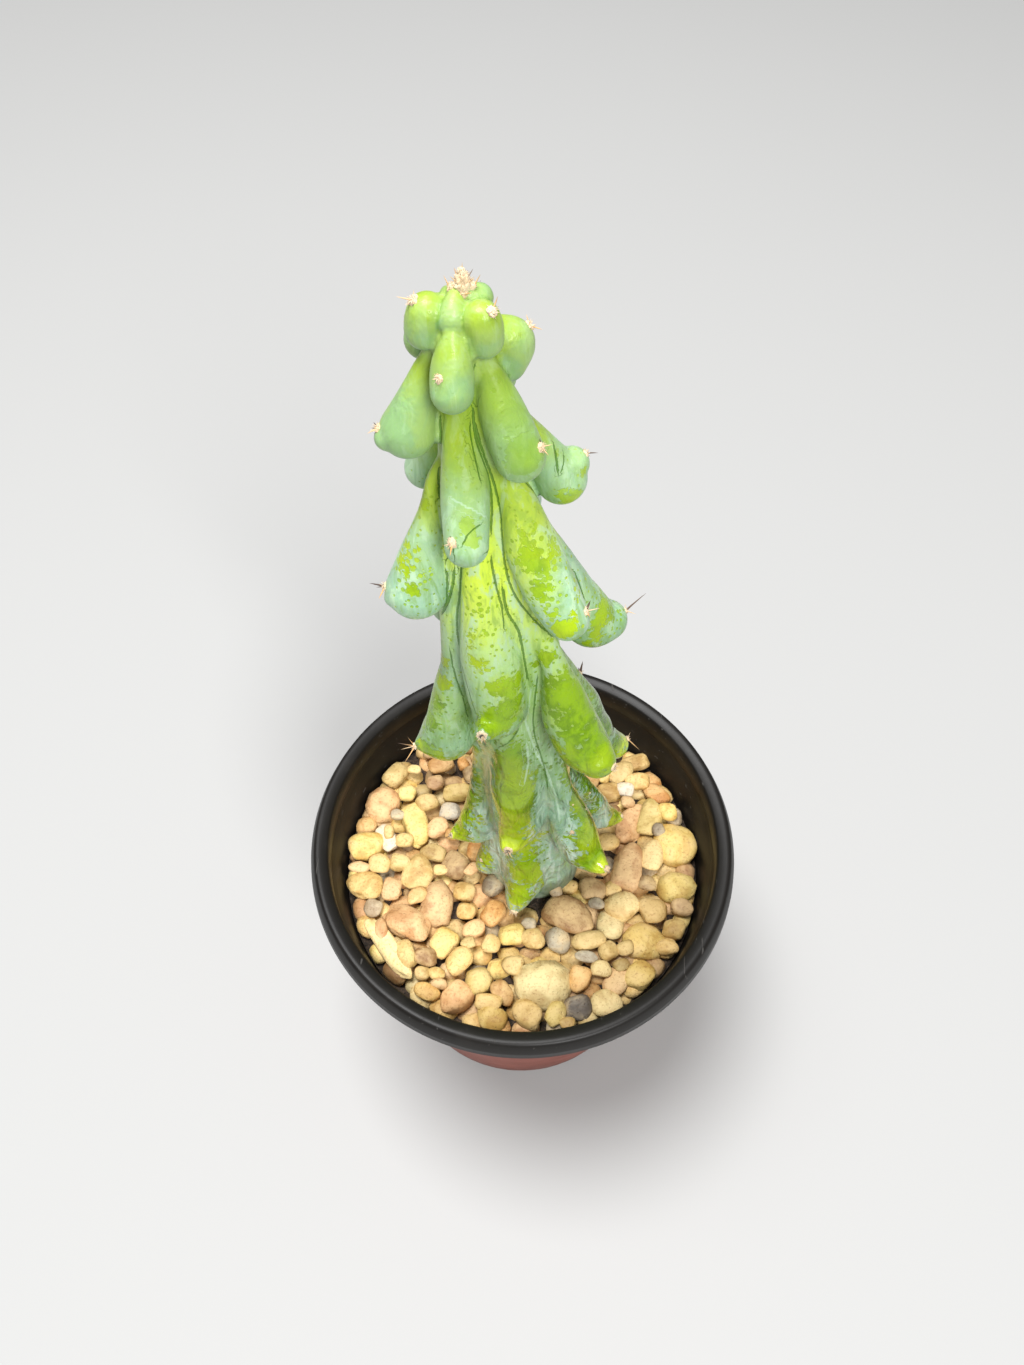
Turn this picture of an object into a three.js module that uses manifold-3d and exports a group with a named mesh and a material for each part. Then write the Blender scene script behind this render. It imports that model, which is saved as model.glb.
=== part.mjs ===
// A potted boobie cactus: a two-tone nursery pot, its soil, a dressing of pea gravel, and one
// six-ribbed stem whose tubercles swell into drops that hang over each other.
// Millimetres, +Z up. The origin is the middle of the pot's base, and the front faces -Y.
import * as THREE from "three";
import { mergeVertices } from "three/addons/utils/BufferGeometryUtils.js";
import Module from "manifold-3d";

const clearance = 0.3;

// Pot: one sheet of plastic, folded over at the rim into a lip and a hanging collar.
const potHeight = 84;
const ridgeRadius = 50;
const lipWidth = 2.7;
const collarRadius = 52;
const collarDrop = 7.2;
const baseRadius = 34.5;
const sheet = 1;
const floorThickness = 1.2;
const ledgeHeight = 76;
const ledgeStep = 0.8;
const throatRadius = ridgeRadius - lipWidth;
const drainHoles = 6;
const drainRadius = 3.5;
const drainRing = 24;
const potSides = 48;

// Filling: soil below, a packed bed of gravel on it, and loose pebbles on the bed.
const soilTop = 63;
const bedTop = 67.4;
const pebbleTop = 71.2;

// Stem: a core on a bent centre line, with its girth at each height.
const stemFoot = new THREE.Vector3(3, 2, 69);
const stemBend = new THREE.Vector3(-1.65, 2.5, 151);
const stemHead = new THREE.Vector3(-9.8, 3, 233);
const stemRoot = 45;
const stemGirth = [
  [stemRoot, 4],
  [48, 9],
  [56, 11.5],
  [70, 11.6],
  [85, 12],
  [110, 12],
  [140, 10.5],
  [160, 9.5],
  [180, 8],
  [200, 6],
  [215, 4.6],
  [226, 3.2],
  [231, 2.2],
  [234, 0.8],
];
const stemSides = 14;

// Ribs: turn is the side that a rib grows on, in degrees from the front, and its drops' noses
// twist away from it. Their areoles look aside by gaze on the young drops.
// Each drop has the height where its neck leaves the stem, the reach and height of its nose, and
// the radius of its neck, its belly and its nose.
const ribs = [
  {
    turn: -11,
    twist: -5,
    gaze: -42,
    drops: [
      [232.6, 3.4, 229.6, 1.1, 1.2, 1.15],
      [228.5, 7, 221.2, 1.2, 3.4, 2.75],
      [219, 11.8, 196.5, 2, 4.8, 3.2],
      [193, 15.5, 149.5, 3, 8.8, 2.6],
      [144, 14, 101, 3.5, 8, 2.2],
      [104, 16.5, 75.2, 3.5, 7.4, 2.1],
    ],
  },
  {
    turn: 49,
    twist: 3,
    gaze: 32,
    drops: [
      [231.6, 4.2, 226.4, 2.4, 2.7, 2.7],
      [226, 9.3, 209.8, 1.6, 4.2, 3.4],
      [209, 15.9, 180, 2.6, 6.8, 3.5],
      [174, 21.2, 138.5, 3, 8.4, 2.7],
      [130, 22.9, 94, 3.5, 8.2, 1.9],
    ],
  },
  {
    turn: 109,
    twist: 0,
    gaze: 0,
    drops: [
      [233.2, 2.9, 231.2, 1.5, 1.8, 1.8],
      [228.5, 7.4, 220.3, 2.2, 4.1, 2.9],
      [219, 12.8, 196.2, 2, 5.2, 3.5],
      [194, 19.1, 157, 3, 8, 3.2],
      [156, 21.5, 112, 3, 8.2, 2.5],
      [110, 22.5, 77, 3.5, 7.6, 2],
    ],
  },
  {
    turn: 169,
    twist: 0,
    gaze: 0,
    drops: [
      [231.5, 4.5, 227, 2.2, 2.8, 2.7],
      [225, 11.5, 210.5, 1.8, 4.8, 3],
      [207, 17, 178, 2.6, 7.2, 2.8],
      [174, 20, 132, 3, 8.4, 2.4],
      [126, 19, 90, 3.5, 8, 2.1],
    ],
  },
  {
    turn: -131,
    twist: 0,
    gaze: 0,
    drops: [
      [233.4, 2.6, 231.4, 1.3, 1.5, 1.5],
      [228.5, 8.6, 220, 1.8, 3.9, 2.9],
      [218, 14.6, 192.5, 2, 5.2, 3.4],
      [194, 19, 155, 3, 7.8, 3],
      [156, 20.5, 110, 3, 8.2, 2.5],
      [110, 18.5, 78, 3.5, 7.6, 2.1],
    ],
  },
  {
    turn: -71,
    twist: -2,
    gaze: -10,
    drops: [
      [232, 5, 227.2, 2.5, 2.7, 2.6],
      [225, 13.4, 211.6, 1.8, 6.6, 1.7],
      [207, 18.6, 179, 2.4, 9, 1.8],
      [170, 20.6, 130, 3, 9.4, 1.8],
      [120, 17.2, 89.5, 3.5, 8.2, 2],
      [94, 12.6, 74, 3, 5, 2.2],
    ],
  },
];
const dropSides = 8;
const dropSteps = 20;
const noseCrowding = 0.6;
const rounding = 1e-6;

// Areoles: a pad of wool on each nose, with stout spines.
const woolRadius = 1.3;
const spineRadius = 0.32;
const spineLength = 3.8;
const spinesPerAreole = 3;
const spineLean = 0.75;
const crownHeight = 231.6;
const crownWool = 2.3;
const crownSpines = 7;
const crownSpineLength = 2.4;

// Pebbles that stand out by their size: place, length, width and the turn of the long side.
const largeStones = [
  [-38, 14, 12, 9, 80],
  [-35, 22, 9, 6, 60],
  [-27.5, 8, 13, 7, -65],
  [-35, 4.5, 9.5, 5, -50],
  [-38.5, 1, 10, 8.5, 20],
  [-26, -5.5, 10, 8, 80],
  [-17, -2.5, 8, 7, -60],
  [-38.5, -9, 9.5, 7, 0],
  [-32, -9.5, 6.5, 5.5, 90],
  [-21, -13, 12.5, 9.5, 80],
  [-27.5, -18, 14.5, 8.5, -25],
  [-31.5, -25.5, 17, 5, -50],
  [-6.5, -15, 8, 6, 60],
  [-18, -22.5, 8.5, 7, 55],
  [-14, -28, 8, 6, 55],
  [-1.5, -20.5, 7, 6, 0],
  [9.5, -21, 6.5, 6.5, 0],
  [12.5, -14, 13, 9.5, -15],
  [6.5, -31, 15, 13, 0],
  [-9, -32, 7.5, 7.5, 0],
  [-14, -36.5, 9, 7.5, 75],
  [-4, -39, 8, 6, 0],
  [3, -39.5, 8, 6.5, -25],
  [14.5, -36.5, 7, 6.5, 0],
  [21, -34.5, 7.5, 6.5, 10],
  [15, -29, 6.5, 6, 60],
  [24, -29, 8, 6, 60],
  [28.5, -28, 8, 6.5, 60],
  [17, -20.5, 9, 5, 5],
  [24, -13, 11, 8, 30],
  [30, -19.5, 11.5, 11, 0],
  [33, -11.5, 7.5, 7, 0],
  [38, -5.5, 11, 9, 0],
  [38, 6, 12, 11, 90],
  [33, 2.5, 10, 6, 75],
  [27, -1.5, 14, 8, 75],
  [18.5, -8, 7, 6.5, 0],
  [28, 12, 12, 7, 60],
  [33, 13, 11, 7, 65],
  [34, 20, 8, 5.5, -35],
  [29, 29, 8.5, 5.5, 20],
  [25, 24, 8, 6, 60],
  [-22, 26, 9, 6, 15],
];
const spiralPlaces = 420;
const goldenAngle = Math.PI * (3 - Math.sqrt(5));
const stoneFlatness = 0.62;
const stoneSpacing = 0.72;
const stoneRise = 0.8;

let seed = 7;
function random() {
  seed = (seed * 16807) % 2147483647;
  return seed / 2147483647;
}
function between(low, high) {
  return low + (high - low) * random();
}

const wasm = await Module();
wasm.setup();

// A closed geometry as a solid that can be joined and cut.
function solid(geometry) {
  const bare = geometry.clone();
  bare.deleteAttribute("normal");
  bare.deleteAttribute("uv");
  const { attributes, index } = mergeVertices(bare);
  const vertProperties = attributes.position.array;
  const triVerts = new Uint32Array(index.array);
  return new wasm.Manifold(new wasm.Mesh({ numProp: 3, vertProperties, triVerts }));
}

function join(solids) {
  return solids.reduce((sum, next) => sum.add(next));
}

// The largest body of a solid, with any hollow that joining has sealed filled.
function outerBody(made) {
  const bodies = made.decompose();
  return bodies.reduce((best, body) => (body.volume() > best.volume() ? body : best));
}

function mesh(name, made, color, roughness) {
  const { vertProperties, triVerts } = made.getMesh();
  const geometry = new THREE.BufferGeometry();
  geometry.setAttribute("position", new THREE.BufferAttribute(vertProperties, 3));
  geometry.setIndex(new THREE.BufferAttribute(triVerts, 1));
  geometry.computeVertexNormals();
  const material = new THREE.MeshStandardMaterial({ color, roughness, metalness: 0 });
  const piece = new THREE.Mesh(geometry, material);
  piece.name = name;
  return piece;
}

// A profile of radius and height pairs, turned about +Z.
function turned(profile, sides) {
  const points = profile.map(([radius, height]) => new THREE.Vector2(radius, height));
  return new THREE.LatheGeometry(points, sides).rotateX(Math.PI / 2);
}

function column(radius, low, high, x, y, sides) {
  const made = new THREE.CylinderGeometry(radius, radius, high - low, sides);
  return made.rotateX(Math.PI / 2).translate(x, y, (low + high) / 2);
}

// Pot

function outerWall(height) {
  const under = throatRadius + sheet - ledgeStep;
  return baseRadius + ((under - baseRadius) * height) / ledgeHeight;
}
function innerWall(height) {
  return outerWall(height) - sheet;
}

function makePot() {
  const edge = potHeight - collarDrop;
  const profile = [
    [0, 0],
    [baseRadius - floorThickness, 0],
    [outerWall(floorThickness), floorThickness],
    [outerWall(ledgeHeight), ledgeHeight],
    [throatRadius + sheet, ledgeHeight + sheet],
    [throatRadius + sheet, potHeight - 1.8],
    [ridgeRadius - 0.4, potHeight - 1.2],
    [collarRadius - sheet, edge + 0.1],
    [collarRadius, edge],
    [ridgeRadius + 0.9, potHeight - 0.9],
    [ridgeRadius, potHeight],
    [throatRadius, potHeight - 0.6],
    [throatRadius, ledgeHeight + sheet + 0.3],
    [innerWall(ledgeHeight), ledgeHeight + 0.3],
    [innerWall(floorThickness), floorThickness],
    [0, floorThickness],
  ];
  let pot = solid(turned(profile, potSides));
  for (let i = 0; i < drainHoles; i++) {
    const angle = (2 * Math.PI * (i + 0.5)) / drainHoles;
    const x = drainRing * Math.cos(angle);
    const y = drainRing * Math.sin(angle);
    pot = pot.subtract(solid(column(drainRadius, -2, 2 * floorThickness, x, y, 12)));
  }
  return pot;
}

// Stem

function stemCentre(height) {
  const share = Math.max(0, (height - stemFoot.z) / (stemHead.z - stemFoot.z));
  const line = new THREE.QuadraticBezierCurve3(stemFoot, stemBend, stemHead);
  return line.getPoint(share).setZ(height);
}

function girthAt(height) {
  const above = stemGirth.findIndex(([level]) => level >= height);
  const [lowLevel, lowGirth] = stemGirth[above - 1];
  const [highLevel, highGirth] = stemGirth[above];
  return THREE.MathUtils.mapLinear(height, lowLevel, highLevel, lowGirth, highGirth);
}

function makeCore() {
  const tip = stemGirth[stemGirth.length - 1][0] + 0.4;
  const profile = [[0, stemRoot], ...stemGirth.map(([level, girth]) => [girth, level]), [0, tip]];
  const core = turned(profile, stemSides);
  const place = core.getAttribute("position");
  for (let i = 0; i < place.count; i++) {
    const centre = stemCentre(place.getZ(i));
    place.setXY(i, place.getX(i) + centre.x, place.getY(i) + centre.y);
  }
  return core;
}

// The direction in plan at a turn from the front.
function outward(degrees) {
  const angle = THREE.MathUtils.degToRad(degrees);
  return new THREE.Vector3(Math.sin(angle), -Math.cos(angle), 0);
}

// The balls that a drop's skin wraps, from its neck to its nose. They follow one curve of reach,
// height and radius. Old, low drops hug the stem for longer before they flare.
function dropBalls(rib, [top, reach, height, neck, belly, nose]) {
  const root = girthAt(top) - 0.6 * neck;
  const flare = 0.14 + (0.22 * (height - 70)) / 160;
  const sag = 0.07 * (top - height);
  const curve = new THREE.QuadraticBezierCurve3(
    new THREE.Vector3(root, top, neck),
    new THREE.Vector3(root + flare * (reach - root), height - sag, belly),
    new THREE.Vector3(reach, height, nose),
  );
  return curve.getPoints(dropSteps).map(({ x: out, y: level, z: radius }, i) => {
    const turn = rib.turn + rib.twist * (i / dropSteps) ** 2;
    return { centre: stemCentre(level).addScaledVector(outward(turn), out), radius };
  });
}

// How far the balls' common skin lies from a point in its own level plane.
function skinReach(circles, hub, direction) {
  const reaches = circles.map(({ centre, radius }) => {
    const offset = centre.clone().sub(hub).setZ(0);
    const along = offset.dot(direction);
    const inside = radius ** 2 - offset.lengthSq() + along ** 2;
    return inside > 0 ? along + Math.sqrt(inside) : 0;
  });
  return Math.max(...reaches);
}

// A drop: the rings of a sphere, spread over its levels and drawn out to its skin.
function makeDrop(rib, balls) {
  const nose = balls[balls.length - 1];
  const high = Math.max(...balls.map(({ centre, radius }) => centre.z + radius));
  const low = Math.min(...balls.map(({ centre, radius }) => centre.z - radius));
  const shoulder = nose.centre.z + nose.radius;
  const chin = nose.centre.z - 0.8 * nose.radius;
  const levels = [0, 0.15, 0.45, 0.75, 1].map((t) => THREE.MathUtils.lerp(high, shoulder, t));
  levels.push(nose.centre.z, chin, THREE.MathUtils.lerp(chin, low, 0.65), low);
  const front = Math.atan2(-Math.cos(rib.noseAngle), Math.sin(rib.noseAngle));

  const drop = new THREE.SphereGeometry(1, dropSides, levels.length - 1).rotateX(Math.PI / 2);
  const place = drop.getAttribute("position");
  for (let i = 0; i < place.count; i++) {
    const level = levels[Math.floor(i / (dropSides + 1))];
    const cut = balls
      .map(({ centre, radius }) => ({ centre, radius: radius ** 2 - (level - centre.z) ** 2 }))
      .filter(({ radius }) => radius > -rounding)
      .map(({ centre, radius }) => ({ centre, radius: Math.sqrt(Math.max(0, radius)) }));
    const widest = cut.reduce((best, circle) => (circle.radius > best.radius ? circle : best));
    const hub = widest.centre;
    const turn = (2 * Math.PI * (i % (dropSides + 1))) / dropSides;
    const angle = front + turn - noseCrowding * Math.sin(turn);
    const direction = new THREE.Vector3(Math.cos(angle), Math.sin(angle), 0);
    const reach = level === high || level === low ? 0 : skinReach(cut, hub, direction);
    place.setXYZ(i, hub.x + reach * direction.x, hub.y + reach * direction.y, level);
  }
  return drop;
}

// Something made along +Y, set at a point to look along a direction.
function aim(geometry, point, direction) {
  const turn = new THREE.Quaternion();
  turn.setFromUnitVectors(new THREE.Vector3(0, 1, 0), direction);
  return geometry.applyQuaternion(turn).translate(point.x, point.y, point.z);
}

function makeSpine(point, direction, length) {
  const sunk = woolRadius;
  const spine = new THREE.ConeGeometry(spineRadius, length + sunk, 3);
  return aim(spine.translate(0, (length - sunk) / 2, 0), point, direction);
}

// Directions spread evenly round an axis, each leaning away from it.
function fan(axis, count, lean, start) {
  const aside = new THREE.Vector3(0, 0, 1).cross(axis).normalize();
  return Array.from({ length: count }, (_, i) => {
    const roll = start + (2 * Math.PI * i) / count;
    return axis.clone().applyAxisAngle(aside, lean).applyAxisAngle(axis, roll);
  });
}

function makeAreole(rib, nose) {
  const level = nose.centre.z;
  const lift = THREE.MathUtils.degToRad(THREE.MathUtils.clamp((level - 130) / 2, 5, 50));
  const aside = rib.gaze * THREE.MathUtils.clamp((level - 110) / 80, 0, 1);
  const look = outward(rib.turn + rib.twist + aside).multiplyScalar(Math.cos(lift));
  look.setZ(Math.sin(lift));
  const point = nose.centre.clone().addScaledVector(look, nose.radius);
  const pad = Math.min(woolRadius, 0.75 * nose.radius);
  const wool = new THREE.IcosahedronGeometry(pad, 0).scale(1, 0.7, 1);
  const spines = fan(look, spinesPerAreole, spineLean, between(0, 2)).map((direction) =>
    makeSpine(point, direction, spineLength * between(0.8, 1.2)),
  );
  return [aim(wool, point, look), ...spines];
}

// The tip: a tall pad of wool on the last of the stem, with one upright spine in a ring of others.
function makeCrown() {
  const point = stemCentre(crownHeight);
  const wool = new THREE.IcosahedronGeometry(crownWool, 1).scale(1, 1, 1.35);
  const up = new THREE.Vector3(0.05, 0, 1).normalize();
  const top = point.clone().setZ(point.z + crownWool);
  const spines = fan(up, crownSpines, spineLean, 0).map((direction) =>
    makeSpine(top, direction, crownSpineLength * between(0.8, 1.2)),
  );
  return [aim(wool, point, new THREE.Vector3(0, 1, 0)), ...spines, makeSpine(top, up, crownSpineLength)];
}

for (const rib of ribs) {
  rib.noseAngle = THREE.MathUtils.degToRad(rib.turn + rib.twist);
  rib.balls = rib.drops.map((drop) => dropBalls(rib, drop));
}

function makeCactus() {
  const pieces = [makeCore(), ...makeCrown()];
  for (const rib of ribs) {
    for (const balls of rib.balls) {
      pieces.push(makeDrop(rib, balls), ...makeAreole(rib, balls[balls.length - 1]));
    }
  }
  return outerBody(join(pieces.map(solid)));
}

// Filling

// A disc that fills the pot between two heights, clear of its wall and of the stem.
function filling(low, high, holeFloor) {
  const profile = [
    [0, low],
    [innerWall(low) - clearance, low],
    [innerWall(high) - clearance, high],
    [0, high],
  ];
  const widest = Math.max(...stemGirth.map(([, girth]) => girth));
  const { x, y } = stemFoot;
  const hole = column(widest + clearance, holeFloor, high + 1, x, y, stemSides * 2);
  return solid(turned(profile, potSides)).subtract(solid(hole));
}

// Whether a pebble stands clear of the stem, and clear of each drop either in plan or below it.
function isClearOfPlant(point, size, height) {
  const inPlan = (centre, radius) =>
    Math.hypot(point.x - centre.x, point.y - centre.y) - radius - size;
  const below = (centre, radius) => centre.z - radius - point.z - height / 2;
  const clear = ({ centre, radius }) =>
    Math.max(inPlan(centre, radius), below(centre, radius)) > clearance;
  const beside = inPlan(stemFoot, girthAt(point.z)) > clearance;
  return beside && ribs.every((rib) => rib.balls.flat().every(clear));
}

// A pebble lies flat on the bed, inside the wall, and sinks until it is clear of the plant.
function makeStone(x, y, length, width, turn) {
  const height = Math.min(length, width) * stoneFlatness;
  const size = length / 2;
  const spread = (length + width) / 4;
  const limit = innerWall(bedTop) - clearance - size;
  const pull = Math.min(1, limit / Math.hypot(x, y));
  const rise = pebbleTop + between(-stoneRise, stoneRise) - height / 2;
  const point = new THREE.Vector3(x * pull, y * pull, Math.max(rise, bedTop - 1));
  const lowest = soilTop + 2 * clearance + height / 2;
  while (!isClearOfPlant(point, size, height) && point.z > lowest) point.z -= clearance;
  if (!isClearOfPlant(point, size, height)) return null;
  const sides = length > 9 ? 8 : length > 6.4 ? 6 : 5;
  const stone = new THREE.SphereGeometry(1, sides, sides - 2).rotateX(Math.PI / 2);
  stone.scale(length / 2, width / 2, height / 2);
  stone.rotateZ(THREE.MathUtils.degToRad(turn));
  return { point, spread, geometry: stone.translate(point.x, point.y, point.z) };
}

// Large pebbles lie where they are listed, and small ones fill the places of an even spiral.
function makeGravel() {
  const stones = largeStones.map((row) => makeStone(...row)).filter(Boolean);
  for (let i = 0; i < spiralPlaces; i++) {
    const reach = (innerWall(bedTop) - 2) * Math.sqrt((i + 0.5) / spiralPlaces);
    const angle = i * goldenAngle + between(-0.03, 0.03);
    const length = between(4, 6.4);
    const width = length * between(0.75, 0.95);
    const turn = between(0, 180);
    const stone = makeStone(reach * Math.cos(angle), reach * Math.sin(angle), length, width, turn);
    const apart = ({ point, spread }) =>
      Math.hypot(point.x - stone.point.x, point.y - stone.point.y) >
      stoneSpacing * (spread + stone.spread);
    if (stone && stones.every(apart)) stones.push(stone);
  }
  const bed = filling(soilTop + clearance, bedTop, soilTop);
  return outerBody(join([bed, ...stones.map(({ geometry }) => solid(geometry))]));
}

const soil = filling(floorThickness + clearance, soilTop, stemRoot - clearance);
const plant = new THREE.Group();
plant.add(mesh("pot", makePot(), 0x1c1b1a, 0.45));
plant.add(mesh("soil", soil, 0x2b211a, 0.95));
plant.add(mesh("gravel", makeGravel(), 0xd2b183, 0.8));
plant.add(mesh("cactus", makeCactus(), 0x8fb878, 0.4));

export default plant;
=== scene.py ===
import math
import random

import bmesh
import bpy
import numpy as np
from mathutils import Matrix, Vector, noise
from mathutils.bvhtree import BVHTree


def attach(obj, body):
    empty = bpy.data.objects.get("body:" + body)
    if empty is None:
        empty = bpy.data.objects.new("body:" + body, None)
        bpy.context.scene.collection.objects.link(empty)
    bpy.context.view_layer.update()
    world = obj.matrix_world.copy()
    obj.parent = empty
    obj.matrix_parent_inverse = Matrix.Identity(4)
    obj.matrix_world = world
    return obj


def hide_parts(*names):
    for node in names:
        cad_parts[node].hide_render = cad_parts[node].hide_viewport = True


# Potted boobie cactus: pea gravel, pot, ribbed stem with drop-shaped tubercles, wool and spines.
# Shapes are worked in millimetres and brought to metres as each piece is finished.

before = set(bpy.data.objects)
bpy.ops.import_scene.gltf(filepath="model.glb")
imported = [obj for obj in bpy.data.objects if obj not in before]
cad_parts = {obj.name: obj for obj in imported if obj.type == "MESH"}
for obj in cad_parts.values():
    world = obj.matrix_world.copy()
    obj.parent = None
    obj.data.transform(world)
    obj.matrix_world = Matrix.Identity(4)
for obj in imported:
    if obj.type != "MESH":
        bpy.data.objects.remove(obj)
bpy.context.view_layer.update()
print("frame loaded:", ", ".join(sorted(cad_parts)))


# The camera that the photograph was taken with. A mark on the photograph is in its pixels, counted
# from its upper left corner.

photograph = {
    "width": 1024,
    "height": 1365,
    "cameraPlace": (3.15, -111.03, 310.84),
    "cameraForward": (-0.02881697, 0.56495237, -0.82462016),
    "cameraUp": (-0.04061294, 0.82361983, 0.56568628),
    "lens": 27.033,
    "sensor": 36,
    "depths": (80, 330, 0.5),  # mm from the camera at which a mark beside the piece is tried
}


class Sight:
    # finds what the marks on the photograph show of a mesh
    def __init__(self, mesh):
        places = [vert.co for vert in mesh.vertices]
        self.skin = BVHTree.FromPolygons(places, [face.vertices for face in mesh.polygons])
        self.eye = Vector(photograph["cameraPlace"])
        self.forward = Vector(photograph["cameraForward"]).normalized()
        self.up = Vector(photograph["cameraUp"]).normalized()
        self.side = self.forward.cross(self.up).normalized()
        self.focus = photograph["lens"] / photograph["sensor"] * photograph["height"]

    def find(self, x, y):
        # the place that a mark shows or passes nearest to, the normal there and a pixel's size in mm
        aside, down = x - photograph["width"] / 2, y - photograph["height"] / 2
        way = (self.forward * self.focus + self.side * aside - self.up * down).normalized()
        place, normal = self.skin.ray_cast(self.eye, way)[:2]
        if place is None:
            tries = [self.skin.find_nearest(self.eye + way * depth)
                for depth in np.arange(*photograph["depths"])]
            place, normal = min(tries, key=lambda found: found[3])[:2]
        return place, normal, (place - self.eye).dot(self.forward) / self.focus


# Helpers for meshes

def makeObject(name, mesh):
    piece = bpy.data.objects.new(name, mesh)
    bpy.context.scene.collection.objects.link(piece)
    return piece


def meshFrom(bm, name):
    mesh = bpy.data.meshes.new(name)
    bm.to_mesh(mesh)
    bm.free()
    return mesh


def addTo(whole, bm):
    mesh = meshFrom(bm, "part")
    whole.from_mesh(mesh)
    bpy.data.meshes.remove(mesh)


def bakeModifiers(piece):
    depsgraph = bpy.context.evaluated_depsgraph_get()
    baked = bpy.data.meshes.new_from_object(piece.evaluated_get(depsgraph))
    piece.modifiers.clear()
    piece.data = baked


def growRing(bm, edges):
    # a new ring of vertices off an open loop of edges
    grown = bmesh.ops.extrude_edge_only(bm, edges=edges)["geom"]
    ring = [item for item in grown if isinstance(item, bmesh.types.BMVert)]
    return ring, [item for item in grown if isinstance(item, bmesh.types.BMEdge)]


def spinRail(bm, rail, steps):
    # a profile of vertices turned into a closed solid about the Z axis
    edges = [bm.edges.new(pair) for pair in zip(rail, rail[1:])]
    bmesh.ops.spin(
        bm, geom=rail + edges, cent=(0, 0, 0), axis=(0, 0, 1), angle=2 * math.pi,
        steps=steps, use_merge=True)
    bmesh.ops.remove_doubles(bm, verts=bm.verts, dist=0.001)
    bmesh.ops.recalc_face_normals(bm, faces=bm.faces)


def finishPiece(piece, material, node):
    piece.data.transform(Matrix.Scale(0.001, 4))
    piece.data.materials.clear()
    piece.data.materials.append(material)
    piece.data.shade_smooth()
    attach(piece, "root")
    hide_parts(node)
    print(piece.name, "has", len(piece.data.polygons), "faces")


def readPoints(mesh):
    points = np.empty(len(mesh.vertices) * 3, np.float32)
    mesh.vertices.foreach_get("co", points)
    return points.reshape(-1, 3).astype(float)


def writeVectors(mesh, name, columns):
    layer = mesh.attributes.new(name, "FLOAT_VECTOR", "POINT")
    layer.data.foreach_set("vector", np.column_stack(columns).astype(np.float32).ravel())


def lerp(a, b, t):
    return a + (b - a) * t


def clamp(value, low=0.0, high=1.0):
    return max(low, min(high, value))


def bezier(a, b, c, t):
    return lerp(lerp(a, b, t), lerp(b, c, t), t)


# Helpers for materials

class Wire:
    # A shader socket that can be added, subtracted and multiplied like a number.
    def __init__(self, finish, socket):
        self.finish = finish
        self.socket = socket

    def sum(self, operation, a, b):
        return self.finish.node("Math", {"operation": operation}, {0: a, 1: b})

    def __add__(self, other):
        return self.sum("ADD", self, other)

    def __sub__(self, other):
        return self.sum("SUBTRACT", self, other)

    def __rsub__(self, other):
        return self.sum("SUBTRACT", other, self)

    def __mul__(self, other):
        return self.sum("MULTIPLY", self, other)

    __radd__ = __add__
    __rmul__ = __mul__


class Finish:
    # One material and the nodes in it.
    def __init__(self, name):
        self.material = bpy.data.materials.new(name)
        self.material.use_nodes = True
        self.tree = self.material.node_tree
        self.tree.nodes.clear()

    def node(self, kind, settings, inputs, output=0):
        made = self.tree.nodes.new("ShaderNode" + kind)
        for key, value in settings.items():
            setattr(made, key, value)
        for key, value in inputs.items():
            if isinstance(value, Wire):
                self.tree.links.new(value.socket, made.inputs[key])
            elif isinstance(value, tuple) and made.inputs[key].type == "RGBA":
                made.inputs[key].default_value = (*value, 1)
            else:
                made.inputs[key].default_value = value
        return Wire(self, made.outputs[output])

    def place(self):
        return self.node("TexCoord", {}, {}, "Object")

    def attribute(self, name, output="Vector"):
        return self.node("Attribute", {"attribute_name": name}, {}, output)

    def split(self, vector):
        made = self.node("SeparateXYZ", {}, {0: vector})
        return [Wire(self, socket) for socket in made.socket.node.outputs]

    def stretch(self, vector, scale, turn=(0, 0, 0)):
        return self.node("Mapping", {}, {"Vector": vector, "Rotation": turn, "Scale": scale})

    def noise(self, vector, scale, detail=2.0, roughness=0.5, distortion=0.0):
        inputs = {"Vector": vector, "Scale": scale, "Detail": detail}
        inputs.update({"Roughness": roughness, "Distortion": distortion})
        return self.node("TexNoise", {}, inputs)

    def cells(self, vector, scale):
        return self.node("TexVoronoi", {"feature": "F1"}, {"Vector": vector, "Scale": scale}, "Distance")

    def step(self, value, low, high, first=0.0):
        inputs = {"Value": value, "From Min": low, "From Max": high, "To Min": first, "To Max": 1.0}
        return self.node("MapRange", {"interpolation_type": "SMOOTHSTEP"}, inputs)

    def largest(self, a, b):
        return self.node("Math", {"operation": "MAXIMUM"}, {0: a, 1: b})

    def smallest(self, a, b):
        return self.node("Math", {"operation": "MINIMUM"}, {0: a, 1: b})

    def size(self, a):
        return self.node("Math", {"operation": "ABSOLUTE"}, {0: a})

    def mix(self, share, a, b, mode="MIX"):
        settings = {"data_type": "RGBA", "blend_type": mode, "clamp_factor": True}
        return self.node("Mix", settings, {0: share, 6: a, 7: b}, 2)

    def darken(self, share, a, b):
        return self.mix(share, a, b, "MULTIPLY")

    def paint(self, colour, layers):
        for share, tint in layers:
            colour = self.mix(share, colour, tint)
        return colour

    def bump(self, height, distance, strength=1.0, below=None):
        inputs = {"Height": height, "Distance": distance, "Strength": strength}
        if below:
            inputs["Normal"] = below
        return self.node("Bump", {}, inputs, "Normal")

    def surface(self, inputs):
        shader = self.node("BsdfPrincipled", {}, inputs)
        end = self.tree.nodes.new("ShaderNodeOutputMaterial")
        self.tree.links.new(shader.socket, end.inputs["Surface"])
        return self.material


# Cactus: a stem and six ribs of drops, each drop the skin round a run of balls.

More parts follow.
